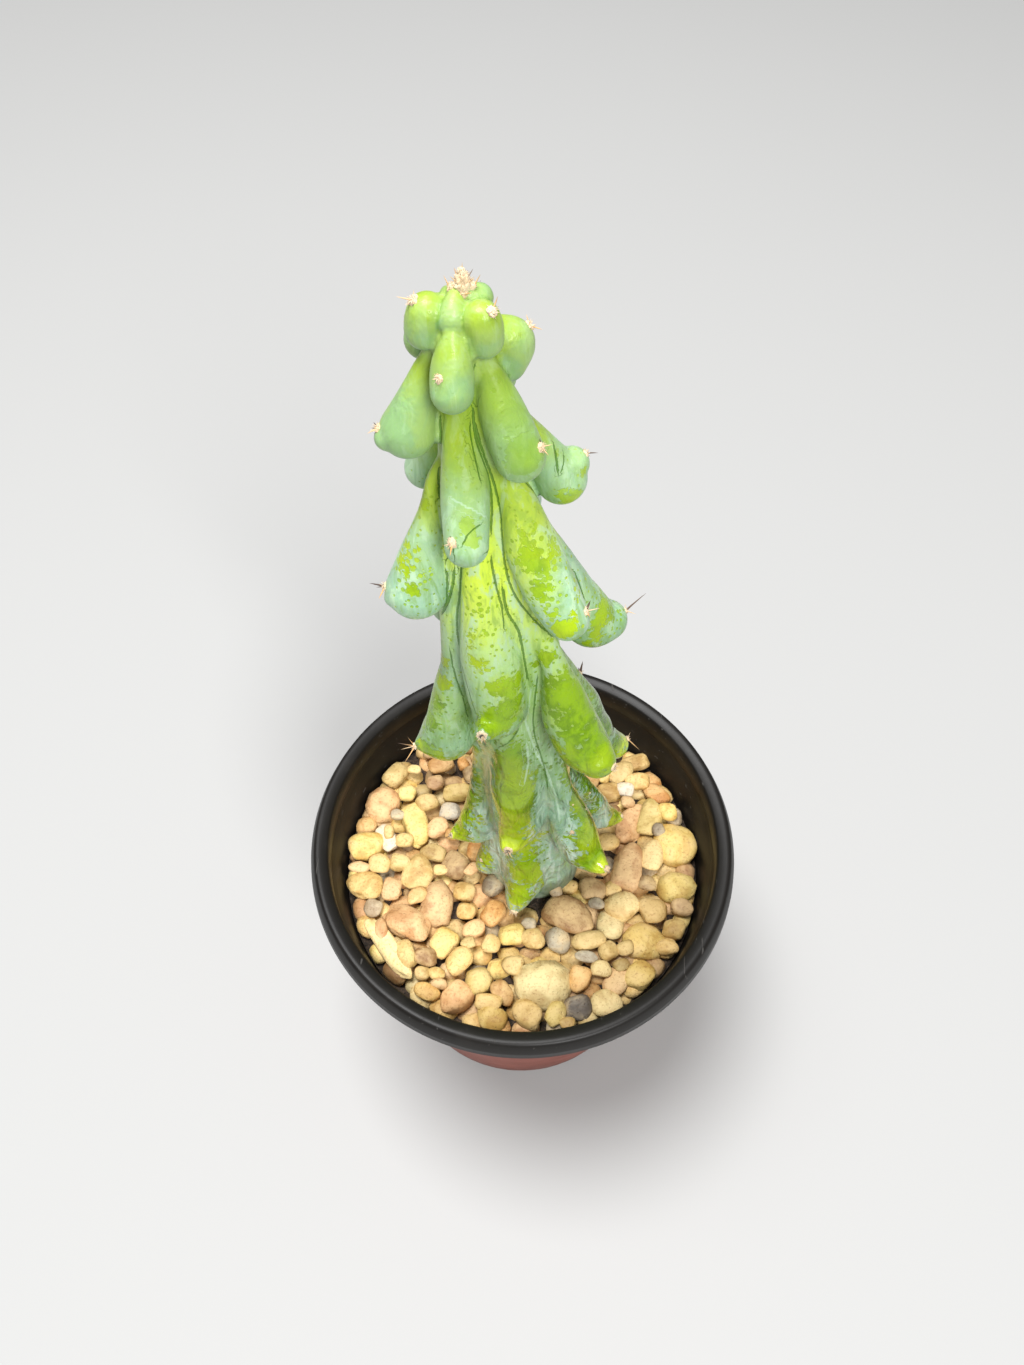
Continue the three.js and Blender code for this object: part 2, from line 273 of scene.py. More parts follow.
cactus = {
    "bottom": (3, 2, 69),
    "bend": (-1.65, 2.5, 151),
    "head": (-9.8, 3, 233),
    "girth": [
        (56, 6), (64, 11), (72, 12.2), (82, 11.8), (92, 10.4), (108, 9.8), (125, 9.6), (140, 9.4),
        (160, 9.2), (180, 7.8), (200, 5.8), (215, 4.2), (226, 2.6), (230.5, 1.6), (232, 0.8),
    ],
    "coreTop": 232.0,
    "coreSides": 48,
    "coreBare": 0.3,
    "ribs": 6,
    "firstTurn": -11,  # degrees from the front to rib 0
    # rib, how bare of wax (at 1 also free of cork and film near the gravel), from root to nose the
    # balls that the drop is drawn round, and the lift of an areole that the photograph doesn't show;
    # a ball is reach, height, radius and, off its rib's line, the turn
    "drops": [
        (0, 0.5, [(0.8, 231.6, 0.9, -8), (2.5, 230.6, 1.6, -9), (3.1, 229.2, 1.75, -12)]),
        (0, 0.15, [(4.5, 228.1, 1.2, -10), (5, 226, 2.2), (5.5, 223.7, 3.1, -13), (7, 221.4, 3, -12)]),
        (0, 0.3, [(3, 220, 1.8, -15), (4, 213.6, 2, -33), (5.2, 207.2, 3.2, -24), (7.3, 201.7, 3.8, -19),
            (10.8, 196, 3.4, -14)]),
        (0, 0.45, [(5, 192, 2, -15), (7.5, 183.8, 2.4, -22), (8, 164.5, 5.6, -17), (9.5, 148.6, 5.3, -14),
            (12.8, 149.5, 3.2, -16), (16.3, 151.7, 1.6, -16)]),
        (0, 0.9, [(7, 150, 2.5, -8), (8, 131.4, 3.6, -9), (8.8, 118.6, 6, -8), (9.3, 107, 6, -8),
            (12.6, 104, 4, -10), (15.5, 104.3, 1.9, -13)]),
        (0, 1, [(8, 94, 3.5, -10), (9, 81.5, 5.6, -8), (11.8, 75.5, 4.7, -9), (15.2, 71.6, 2.6, -14)]),
        (1, 0.05, [(4.2, 229.6, 2.5), (4.4, 229, 2.7), (4.3, 226.8, 2.6)]),
        (1, 0.5, [(1.5, 227, 1.5), (3.7, 222.9, 1.5), (5.2, 217.4, 3), (6.7, 213.1, 3.6),
            (8.4, 209.4, 3.8)]),
        (1, 0.55, [(3, 208, 1.6), (5.4, 202, 2.2), (6.8, 199.6, 2.8), (9, 190.3, 4.4), (12.4, 183, 4.5),
            (15.5, 178.7, 3.6)]),
        (1, 0.9, [(6, 176, 2), (11.9, 161.6, 2.3), (14, 149.5, 4.9), (17.5, 142.1, 5.4),
            (21.3, 140.6, 3.8)]),
        (1, 0.5, [(8, 128, 2.5), (10.6, 115.3, 3.2), (14.3, 102.5, 5.4), (16, 95.8, 5.5), (20.3, 94.7, 3),
            (23, 95, 1.4)]),
        (2, 0.3, [(1, 231.2, 1.3), (2.3, 230.3, 1.9), (2.8, 230.2, 1.95)]),
        (2, 0.2, [(1.5, 226, 1.8), (7, 223.1, 3.2), (5.5, 219.7, 2.7)]),
        (2, 0.5, [(3, 214, 1.8), (9.7, 201.3, 3.1), (11.9, 196.4, 4.2)]),
        (2, 0.5, [(11.4, 197.3, 3.7), (13.8, 198.8, 2.8)]),
        (2, 0.7, [(4, 200, 1.5), (8.5, 185.2, 1.5), (12, 168.7, 4.7), (16.1, 158.5, 5.3),
            (18.9, 158.2, 4)]),
        (2, 0.7, [(8, 150, 2.5), (14.3, 133.2, 2.9), (17.1, 118.2, 3.7), (20.9, 112.3, 3.6)]),
        (2, 0.4, [(9, 105, 3), (15.1, 90.9, 2.9), (17.7, 80.2, 3.8), (22.6, 76.5, 1.3)]),
        (3, 0.1, [(3.4, 228.4, 2.1), (4.2, 226.6, 2.5)], 15),
        (3, 0.4, [(1.5, 226, 1.8), (5.5, 218, 3), (9.4, 211.5, 3.6)], 25),
        (3, 0.5, [(4, 207, 2), (9, 192, 4), (15.6, 179.8, 3.8)], 15),
        (3, 0.7, [(6, 174, 2.4), (12, 150, 5), (15, 135, 5.4), (20, 132.6, 2.4)], 10),
        (3, 0.7, [(8, 126, 3), (12, 102, 5), (14, 92, 5.4), (20, 90.5, 2)], 5),
        (4, 0.3, [(0.8, 231.2, 0.9), (1.7, 230.4, 1.15)]),
        (4, 0.1, [(1.5, 227, 1.6), (6.5, 222.9, 2.2), (8.8, 220.1, 2.9)], 30),
        (4, 0.35, [(2.5, 216, 1.8), (8.7, 205.6, 2.1), (15, 192, 3.6)], 20),
        (4, 0.6, [(5, 194, 2.4), (11, 172, 4.6), (14.5, 158, 5), (19, 155.6, 2.8)], 10),
        (4, 0.7, [(8, 156, 3), (12, 126, 5), (15, 113, 5.4), (20.5, 111, 2.3)], 5),
        (4, 0.6, [(10, 106, 3.4), (13, 86, 4.8), (18.4, 79, 2.2)], 5),
        (5, 0.05, [(4.2, 229.4, 2.6), (4.5, 228.8, 2.8), (4.9, 227.2, 2.7)]),
        (5, 0.15, [(2, 227, 1.5), (5.6, 222.1, 1.2), (7.9, 216.3, 2.8), (10, 211.5, 4.1)]),
        (5, 0.15, [(11.2, 211, 2.7), (12.4, 211, 2.3), (13.2, 210.8, 1.8)]),
        (5, 0.4, [(4, 207, 1.5), (8.1, 201.7, 1), (9.6, 195.2, 1.6), (12.3, 185.8, 3.7),
            (14.3, 178.5, 5.3)]),
        (5, 0.4, [(16.4, 178.1, 3.2), (17.7, 177.8, 2.3), (18.4, 177.5, 1.7)]),
        (5, 0.5, [(6, 190, 2.4, -60), (8.4, 172, 3.2, -66), (10.4, 156.7, 2.9, -68), (13.6, 143, 3.9),
            (15.2, 132.3, 5.7), (18.4, 131.8, 3.1), (21.1, 131.9, 1)]),
        (5, 0.5, [(8, 128, 2.5), (10, 113.9, 2), (11.8, 100.9, 3.4), (13.1, 91.6, 5), (16.7, 90.5, 2.6),
            (19.2, 89.8, 1.1)]),
        (5, 1, [(8, 88, 3.2, -60), (11.8, 78, 3.7, -60), (13, 75.8, 2.9, -60)]),
        (5, 0.3, [(3.6, 211, 2.2, -72), (4.4, 201, 2.8, -72), (5.4, 190, 3, -72), (6.5, 182, 2.6, -72)]),
    ],
    "ballStep": 0.7,
    "roundOff": 1.8,  # mm of its run over which a drop's corners are rounded
    "dropSides": 36,
    "dropRings": 56,
    "keel": 0.38,
    "keelBelow": 160,  # drops under this height grow a narrower crest
    "keelFull": 110,
    "keelRadii": (1.5, 4),  # from none of the crest to all of it
    "keelShift": 0.18,
    "keelBalls": [(0.5, 0.64), (1, 0.38)],  # place along the crest and thickness
    # how far neighbours melt together, by height
    "melt": [
        (70, 0.7), (85, 0.9), (105, 0.8), (130, 0.8), (150, 0.6), (170, 0.4), (190, 0.25), (235, 0.18),
    ],
    "meltInRib": 0.3,
    "fieldReach": 9,
    "farAway": 30,
    "pressLimit": 1.5,
    "voxel": 0.55,
    "rounds": [(4, 4), (3, 2)],  # of softening, then of pressing to the skin
    "lumps": 0.3,
    "lineReach": 2.5,
    "tipReach": 2.5,
    "rubFade": 0.45,
    "uneven": (190, 110),  # height below which the skin grows uneven, and over how many mm
    # heights between which the skin turns young, old and bare of wear near the gravel
    "young": (186, 214),
    "old": (166, 112),
    "foot": (92, 80),
    # dark lines in the furrows: set, half width, marks on the photograph; neighbours are in other sets
    "lines": [
        (0, 0.22, [(475, 423), (479, 440), (485, 458), (491, 474), (496, 490), (501, 515), (502.5, 540),
            (504, 560), (508, 580), (516, 598), (527, 612), (540, 626), (552, 636)]),
        (0, 0.22, [(461, 568), (460.5, 585), (459, 600), (457, 612), (457, 630), (459, 648), (462, 665),
            (467, 685), (473, 705), (476, 722)]),
        (0, 0.18, [(526, 483), (537, 497), (547, 514), (554, 529), (560, 543), (574, 570), (584, 598)]),
        (0, 0.2, [(537.5, 678), (536, 690), (534.5, 703), (533, 718), (534, 732), (537, 744),
            (541, 755), (545, 770), (548, 790)]),
        (0, 0.18, [(493, 780), (498, 795), (501, 808), (500, 825)]),
        (1, 0.28, [(503, 590), (505, 605), (509, 617), (516, 625), (520, 635), (522, 645), (524, 657),
            (526, 668), (527.5, 678)]),
        (1, 0.3, [(454, 571), (453, 583), (450, 597), (446, 607), (442, 613)]),
        (1, 0.22, [(474, 370), (474, 390), (473, 410), (474, 430), (478, 447), (484, 463), (489, 478),
            (491.5, 495), (492, 515), (490, 535), (487, 552)]),
        (1, 0.25, [(554, 446), (556, 456), (557, 467), (558, 474)]),
        (1, 0.2, [(450, 650), (453, 668), (458, 684), (464, 700), (468, 716)]),
        (2, 0.22, [(491, 560), (494, 578), (499, 596), (503, 610), (504, 628)]),
        (2, 0.25, [(447, 573), (447.5, 585), (447, 597), (444, 608)]),
        (2, 0.15, [(470, 425), (472, 445), (477, 465), (481, 485)]),
        (2, 0.2, [(500, 747), (507, 744), (513, 738), (519, 730), (524, 718)]),
        (2, 0.2, [(440, 420), (441, 442), (438, 475), (440, 500), (443, 530), (446, 560)]),
        (2, 0.15, [(564, 456), (563, 466), (561, 474)]),
        (2, 0.16, [(479, 525.6), (473, 529), (466.6, 533.7), (464.5, 538), (463.9, 543.3)]),
        (2, 0.16, [(453, 550), (456.3, 558.2), (458.4, 569)]),
    ],
    # spots rubbed free of wax: mark on the photograph, radius in its pixels, how much
    "rubs": [
        (525, 458, 17, 0.8), (532, 442, 9, 0.4), (495, 392, 16, 0.3), (455, 470, 14, 0.3),
        (470, 528, 9, 0.5), (474, 540, 7, 0.5), (572, 500, 10, 0.9), (586, 470, 6, 0.7),
        (560, 497, 7, 0.7), (556, 455, 4, 0.5), (425, 505, 9, 0.7), (414, 552, 12, 0.35),
        (404, 568, 9, 0.6), (414, 592, 7, 0.7), (420, 575, 8, 0.35), (536, 558, 17, 0.7),
        (540, 590, 13, 0.5), (528, 535, 10, 0.4), (565, 631, 10, 0.9), (552, 612, 10, 0.35),
        (522, 575, 8, 0.3), (606, 613, 12, 0.8), (600, 630, 12, 0.6), (585, 643, 7, 0.5),
        (577, 590, 8, 0.4), (475, 608, 13, 0.3), (480, 640, 10, 0.35), (480, 665, 10, 0.35),
        (505, 690, 11, 0.8), (517, 682, 7, 0.8), (512, 706, 12, 0.8), (500, 720, 14, 0.8),
        (482, 722, 8, 0.6), (443, 660, 6, 0.9), (441, 680, 7, 0.9), (436, 700, 7, 0.9),
        (430, 720, 7, 0.8), (440, 762, 10, 0.8), (455, 760, 9, 0.6), (556, 690, 13, 0.9),
        (562, 710, 17, 1), (578, 722, 18, 1), (590, 748, 18, 1), (605, 763, 9, 0.9),
        (575, 765, 12, 0.9), (545, 725, 4, 0.9), (545, 658, 6, 1), (536, 664, 4, 1), (555, 745, 9, 0.8),
        (605, 725, 13, 0.5), (618, 742, 10, 0.4), (508, 762, 10, 0.9), (517, 778, 13, 1),
        (520, 800, 12, 1), (513, 820, 12, 1), (509, 838, 8, 1), (538, 770, 6, 0.8), (540, 835, 7, 0.6),
        (470, 798, 8, 0.6), (457, 831, 8, 0.9), (468, 820, 9, 0.5), (480, 782, 5, 0.5),
        (580, 805, 8, 0.8), (590, 822, 8, 0.8), (601, 860, 9, 1), (590, 862, 8, 0.7),
        (583, 840, 7, 0.4), (612, 814, 8, 0.9), (515, 893, 9, 1), (522, 875, 8, 0.9),
        (530, 885, 7, 0.6), (485, 858, 8, 1), (447, 345, 9, 0.2), (438, 392, 4, 0.6),
        (440, 312, 8, 0.2), (510, 372, 6, 0.5), (520, 338, 5, 0.4), (413, 450, 4, 0.4),
    ],
    # pale lines: set, half width, marks on the photograph
    "scars": [
        (0, 0.22, [(454, 500), (462, 504), (474, 510), (487, 518)]),
        (0, 0.3, [(535, 751), (547, 771.5), (555.4, 796), (559.5, 820)]),
        (0, 0.3, [(526.9, 745), (528.9, 761), (524.8, 781.7)]),
        (0, 0.25, [(531, 690), (524.8, 720.6), (535, 749)]),
    ],
}


def stemCentre(height):
    bottom, bend, head = (Vector(cactus[key]) for key in ("bottom", "bend", "head"))
    share = max(0, (height - bottom.z) / (head.z - bottom.z))
    centre = bezier(bottom, bend, head, share)
    return Vector((centre.x, centre.y, height))


def girthAt(height):
    return float(np.interp(height, *zip(*cactus["girth"])))


def coreLevels():
    return np.arange(cactus["girth"][0][0], cactus["coreTop"], 1.0)


def outward(degrees):
    angle = math.radians(degrees)
    return Vector((math.sin(angle), -math.cos(angle), 0))


def lookTo(turn, lift):
    look = outward(turn) * math.cos(math.radians(lift))
    look.z = math.sin(math.radians(lift))
    return look


def runOfBalls(knots):
    # balls at an even step along the way through the given ones; a ball is x, y, z, radius, share
    knots = np.array(knots, float)
    lengths = np.linalg.norm(np.diff(knots[:, :3], axis=0), axis=1)
    places = np.concatenate(([0], np.cumsum(lengths)))
    count = max(5, math.ceil(places[-1] / cactus["ballStep"]))
    steps = np.linspace(0, places[-1], count + 1)
    balls = np.column_stack([np.interp(steps, places, knots[:, k]) for k in range(4)])
    reach = min(count // 2, math.ceil(cactus["roundOff"] / cactus["ballStep"]))
    kernel = np.hanning(2 * reach + 3)[1:-1]
    for k in range(4):
        padded = np.pad(balls[:, k], reach, mode="reflect", reflect_type="odd")
        balls[:, k] = np.convolve(padded, kernel / kernel.sum(), mode="valid")
    return np.column_stack((balls, steps / places[-1]))


def dropBalls(ribTurn, rows):
    knots = []
    for reach, height, radius, *turn in rows:
        centre = stemCentre(height) + outward(turn[0] if turn else ribTurn) * reach
        knots.append((*centre, radius))
    thin, thick = cactus["keelRadii"]
    shift = cactus["keelShift"]
    balls = []
    for x, y, z, radius, share in runOfBalls(knots):
        centre = Vector((x, y, z))
        keel = clamp((cactus["keelBelow"] - z) / (cactus["keelBelow"] - cactus["keelFull"]))
        pinch = cactus["keel"] * keel * clamp((radius - thin) / (thick - thin))
        if pinch < 0.05:
            balls.append((*centre, radius, share))
            continue
        # a keeled drop is an egg in plan: wide at the stem, narrow at its crest
        way = centre - stemCentre(z)
        way.normalize()
        balls.append((*(centre - way * shift * radius * pinch), radius * (1 - shift * pinch), share))
        for outer, size in cactus["keelBalls"]:
            small = radius * lerp(1, size, pinch)
            balls.append((*(centre + way * (radius - small) * outer), small, share))
    return np.array(balls)


def readDrops():
    # each drop's rib, how bare it is, where its unseen areole looks, and its balls
    drops = []
    for rib, bare, knots, *lift in cactus["drops"]:
        turn = (cactus["firstTurn"] + 360 / cactus["ribs"] * rib + 180) % 360 - 180
        look = lookTo(turn, *lift) if lift else None
        drops.append((rib, bare, look, dropBalls(turn, knots)))
    return drops


def coreBalls():
    return np.array([(*stemCentre(level), girthAt(level), 0) for level in coreLevels()])


def shapeDrop(balls):
    # the rings of a ball, drawn out in their level planes to the skin round all the drop's balls
    centres, radii = balls[:, :3], balls[:, 3]
    high = float(np.max(centres[:, 2] + radii))
    low = float(np.min(centres[:, 2] - radii))
    bm = bmesh.new()
    bmesh.ops.create_uvsphere(
        bm, u_segments=cactus["dropSides"], v_segments=cactus["dropRings"], radius=1)
    rings = {}
    for vert in bm.verts:
        rings.setdefault(round(vert.co.z, 4), []).append(vert)
    for place, ring in rings.items():
        level = lerp(low, high, (place + 1) / 2)
        cut = radii ** 2 - (level - centres[:, 2]) ** 2
        near = cut >= -1e-6
        widths, middles = np.sqrt(np.maximum(cut[near], 0)), centres[near]
        hub = middles[np.argmax(widths)]
        for vert in ring:
            if len(ring) == 1:
                vert.co = (hub[0], hub[1], level)
                continue
            way = np.array(vert.co.xy.normalized())
            offset = middles[:, :2] - hub[:2]
            ahead = offset @ way
            inside = widths ** 2 - (offset ** 2).sum(axis=1) + ahead ** 2
            reach = np.max(np.where(inside > 0, ahead + np.sqrt(np.maximum(inside, 0)), 0))
            vert.co = (hub[0] + reach * way[0], hub[1] + reach * way[1], level)
    return bm


def nearestBall(points, balls):
    # the gap to a drop, the way out of it and the share of its run, for the points that are close
    centres, radii = balls[:, :3], balls[:, 3]
    low = (centres - radii[:, None]).min(axis=0) - cactus["fieldReach"]
    high = (centres + radii[:, None]).max(axis=0) + cactus["fieldReach"]
    gaps = np.full(len(points), float(cactus["farAway"]))
    ways = np.zeros((len(points), 3))
    shares = np.zeros(len(points))
    close = np.nonzero(np.all((points > low) & (points < high), axis=1))[0]
    local = points[close]
    squares = (local ** 2).sum(axis=1)[:, None] + (centres ** 2).sum(axis=1) - 2 * local @ centres.T
    distances = np.sqrt(np.maximum(squares, 1e-9)) - radii
    best = np.argmin(distances, axis=1)
    gaps[close] = distances[np.arange(len(close)), best]
    offset = local - centres[best]
    ways[close] = offset / np.maximum(np.linalg.norm(offset, axis=1), 1e-6)[:, None]
    shares[close] = balls[best, 4]
    return gaps, ways, shares


def softMin(gaps, ways, melt):
    gaps, ways = np.array(gaps), np.array(ways)
    low = gaps.min(axis=0)
    weights = np.exp(-(gaps - low) / melt)
    total = weights.sum(axis=0)
    return low - melt * np.log(total), (weights[..., None] * ways).sum(axis=0) / total[:, None]


def skinField(points, core, drops):
    # how far each point is outside the melted skin, which way is out, the gap to each rib, and
    # the nearest drop with the share of its run
    melt = np.interp(points[:, 2], *zip(*cactus["melt"]))
    gap, way, share = nearestBall(points, core)
    gaps, ways = [gap], [way]
    along, owner, nearest = share, np.full(len(points), -1), gap.copy()
    for rib in range(cactus["ribs"]):
        ribGaps, ribWays = [], []
        for k, (own, bare, look, balls) in enumerate(drops):
            if own != rib:
                continue
            gap, way, share = nearestBall(points, balls)
            ribGaps.append(gap)
            ribWays.append(way)
            closer = gap < nearest
            nearest[closer] = gap[closer]
            along[closer] = share[closer]
            owner[closer] = k
        gap, way = softMin(ribGaps, ribWays, melt * cactus["meltInRib"])
        gaps.append(gap)
        ways.append(way)
    gap, way = softMin(gaps, ways, melt)
    return gap, way, np.array(gaps[1:]), along, owner


def pressToSkin(mesh, core, drops, rounds):
    points = readPoints(mesh)
    limit = cactus["pressLimit"]
    for i in range(rounds):
        gap, way = skinField(points, core, drops)[:2]
        steep = np.maximum((way ** 2).sum(axis=1), 0.3)
        points -= (np.clip(gap, -limit, limit) / steep)[:, None] * way
    mesh.vertices.foreach_set("co", points.astype(np.float32).ravel())
    mesh.update()


def soften(piece, rounds):
    smooth = piece.modifiers.new("soften", "SMOOTH")
    smooth.factor = 0.5
    smooth.iterations = rounds
    bakeModifiers(piece)


def makeStem():
    whole = bmesh.new()
    levels = coreLevels()
    rail = [whole.verts.new((0, 0, levels[0] - 5))]
    rail += [whole.verts.new((girthAt(level), 0, level)) for level in levels]
    rail.append(whole.verts.new((0, 0, levels[-1] + 0.6)))
    spinRail(whole, rail, cactus["coreSides"])
    for vert in whole.verts:
        vert.co += stemCentre(vert.co.z) * Vector((1, 1, 0))
    drops = readDrops()
    for rib, bare, look, balls in drops:
        addTo(whole, shapeDrop(balls))
    piece = makeObject("cactus_stem", meshFrom(whole, "cactus_stem"))
    remesh = piece.modifiers.new("skin", "REMESH")
    remesh.mode = "VOXEL"
    remesh.voxel_size = cactus["voxel"]
    core = coreBalls()
    for softer, closer in cactus["rounds"]:
        soften(piece, softer)
        pressToSkin(piece.data, core, drops, closer)
    print("stem has", len(drops), "drops")
    return piece, core, drops


def offsetFromLines(points, normals, sight, lines):
    # the signed distance to the nearest line of each set, in half widths, and 1 close to any line
    offsets = np.full((3, len(points)), 9.0)
    nearness = np.zeros(len(points))
    reach = cactus["lineReach"]
    for layer, width, path in lines:
        knots = [(*sight.find(x, y)[0], 0) for x, y in path]
        steps = runOfBalls(knots)[:, :3]
        for a, b in zip(steps[::2], steps[2::2]):
            low, high = np.minimum(a, b) - reach, np.maximum(a, b) + reach
            near = np.nonzero(np.all((points > low) & (points < high), axis=1))[0]
            run = b - a
            offset = points[near] - a
            share = np.clip(offset @ run / (run @ run), 0, 1)
            aside = offset - share[:, None] * run
            side = np.sign(np.einsum("ij,ij->i", np.cross(run, aside), normals[near]))
            distance = np.linalg.norm(aside, axis=1)
            nearness[near] = np.maximum(nearness[near], np.clip(2.4 - 2 * distance, 0, 1))
            away = distance * side / width
            closer = np.abs(away) < np.abs(offsets[layer, near])
            offsets[layer, near[closer]] = away[closer]
    return offsets, nearness


def dressStem(piece, core, drops):
    mesh = piece.data
    points = readPoints(mesh)
    gaps, along, owner = skinField(points, core, drops)[2:]
    bare = np.array([drop[1] for drop in drops] + [cactus["coreBare"]])[owner]
    tip = np.zeros(len(points))
    for rib, own, look, balls in drops:
        far = np.linalg.norm(points - balls[-1, :3], axis=1) - balls[-1, 3]
        tip = np.maximum(tip, np.exp(-np.maximum(far, 0) / cactus["tipReach"]))
    ribs = cactus["ribs"]
    order = np.argmin(gaps, axis=0)
    index = np.arange(len(points))
    floored = np.maximum(gaps, 0.02)
    left = floored[(order - 1) % ribs, index]
    right = floored[(order + 1) % ribs, index]
    side = 0.5 * (left - right) / (left + right)
    start, over = cactus["uneven"]
    age = np.clip((start - points[:, 2]) / over, 0, 1)
    normals = np.empty(len(points) * 3, np.float32)
    mesh.vertices.foreach_get("normal", normals)
    normals = normals.reshape(-1, 3)
    # the lower skin is older and more uneven
    for vertex, normal, old in zip(mesh.vertices, normals, age):
        broad = noise.noise(vertex.co * 0.11) * (0.5 + old)
        lumps = broad + noise.noise(vertex.co * 0.32) * 0.4 * (0.3 + old)
        vertex.co += Vector(normal) * lumps * cactus["lumps"]
    sight = Sight(mesh)
    rub = np.zeros(len(points))
    for x, y, radius, amount in cactus["rubs"]:
        place, normal, pixel = sight.find(x, y)
        far = np.linalg.norm(points - np.array(place), axis=1) / (radius * pixel)
        rub = np.maximum(rub, amount * np.exp(-cactus["rubFade"] * far ** 2))
    scar, nearScar = offsetFromLines(points, normals, sight, cactus["scars"])
    offsets, nearLine = offsetFromLines(points, normals, sight, cactus["lines"])
    writeVectors(mesh, "lineOffsets", offsets)
    writeVectors(mesh, "wear", (rub, np.where(nearScar > 0, scar[0], 9), nearLine))
    writeVectors(mesh, "growth", (along, 1 - 2 * np.abs(side), -normals[:, 2]))
    writeVectors(mesh, "tone", (bare, tip, np.minimum(left, right)))


def makeSkinFinish():
    finish = Finish("waxy_skin")
    mix, step = finish.mix, finish.step
    place = finish.place()
    height = finish.split(place)[2] * 1000
    along, crest, under = finish.split(finish.attribute("growth"))
    bare, tip, gap = finish.split(finish.attribute("tone"))
    offsets = finish.split(finish.attribute("lineOffsets"))
    rub, scar, nearLine = finish.split(finish.attribute("wear"))

    young = step(height, *cactus["young"])
    old = step(height, *cactus["old"])
    covered = step(bare, 0.98, 0.92)
    clouds = finish.noise(place, 48, 3, 0.5)
    patches = finish.noise(place, 150, 4, 0.62, 0.6)
    grains = finish.noise(place, 720, 3, 0.65, 0.8)
    streaks = finish.noise(finish.stretch(place, (1, 1, 0.2)), 420, 4, 0.6, 0.9)
    scratches = finish.noise(finish.stretch(place, (0.4, 0.4, 1), (0.35, 0.2, 0)), 520, 3, 0.6, 1.2)
    flecks = finish.noise(place, 1800, 2, 0.6)
    specks = finish.cells(place, 820)

    # the wax grows thin, then tears: on rubbed spots and old crests, with round specks about them
    worn = rub * 0.85 + old * (crest - 0.36) + bare * 0.12 - under * 0.12
    foot = step(height, *cactus["foot"]) * step(tip, 0.25, 0.05) * covered
    worn = finish.smallest(worn - foot * 0.9, 0.64 + old * 0.25)
    torn = worn + (patches - 0.5) * 1.2 + (streaks - 0.5) * 0.9 + (grains - 0.5) * 0.9
    torn = torn + (flecks - 0.5) * 0.25 + (scratches - 0.5) * (0.3 + old * 1.3)
    size = finish.smallest(finish.largest(worn + 0.16 - young * 0.16, 0) * 0.8, 0.40)
    dots = step(specks - size, 0.03, -0.03)
    lost = finish.largest(step(torn, 0.42, 0.50), dots * 0.85) * (1 - young * (0.8 - rub * 0.7))
    thin = step(torn - step(along, 0.75, 0.2) * 0.25, 0.42, -0.05)

    # the skin under it: lime when young, deep and yellow greens further down
    lime = mix(step(along + (clouds - 0.5), 0.25, 0.9), (0.30, 0.44, 0.02), (0.19, 0.34, 0.02))
    deep = step(patches + (grains - 0.5) * 0.3 - old * 0.03, 0.56, 0.40) * (1 - young * 0.5)
    deep = deep * step(bare, 0.98, 0.92, 0.2) * (0.4 + old * 0.4 + young * 0.3)
    ripe = step(clouds + crest * 0.10 + rub * 0.06, 0.52, 0.72) * (1 - young * 0.6)
    green = finish.paint(mix(old, (0.31, 0.50, 0.012), (0.16, 0.31, 0.003)), [
        (young, lime),
        # lighter green near the gravel: partly the low drops' own lime, partly painted light bounced up
        # from the gravel
        (step(height, 102, 80) * 0.5, (0.36, 0.53, 0.012)),
        (rub * young * 0.7, (0.13, 0.26, 0.01)),
        (deep, (0.06, 0.15, 0.002)),
        (ripe * 0.8, (0.38, 0.50, 0.008)),
        (step(tip, 0.35, 0.9) * old, (0.50, 0.62, 0.03)),
    ])

    # the wax: a lime film, mint where it is thick, blue-grey on noses, undersides and in furrows
    fresh = 1 - step(along + (clouds - 0.5) * 0.9, 0.25, 0.85)
    fresh = fresh * (1 - step(height, 188, 158) * 0.8) * (0.95 - young * 0.2)
    ripening = step(clouds + (patches - 0.5) * 0.7, 0.46, 0.62) * young
    cool = step(tip + (patches - 0.5) * 1.4, 0.25, 0.8) * (1 - young * 0.75) * 0.8
    creased = step(gap + (grains - 0.5) * 3, 2.4, 0.5) * step(height, 205, 170)
    lower = step(along + (clouds - 0.5) * 1.6 + (grains - 0.5) * 0.4, 0.45, 0.85)
    for share in (creased * 0.75, step(under, 0.2, 0.7) * 0.6, lower * (0.7 - young * 0.45), old * 0.85):
        cool = finish.largest(cool, share)
    mint = mix(old, (0.46, 0.64, 0.44), (0.48, 0.62, 0.54))
    bloom = finish.paint(mix(thin * 0.85, (0.42, 0.59, 0.085), (0.40, 0.62, 0.35)), [
        (young * 0.85, (0.18, 0.32, 0.065)),
        (fresh, mix(young, (0.62, 0.78, 0.05), (0.28, 0.41, 0.014))),
        (ripening * 0.6, (0.34, 0.46, 0.02)),
        (cool, mix(old, (0.29, 0.48, 0.37), (0.25, 0.40, 0.34))),
        # pale mint streaks: partly streaks of wax, partly painted sheen
        (step(streaks, 0.50, 0.62) * (0.75 - young * 0.6), mint),
        (step(streaks, 0.48, 0.34) * (0.6 - young * 0.5), (0.20, 0.35, 0.07)),
    ])
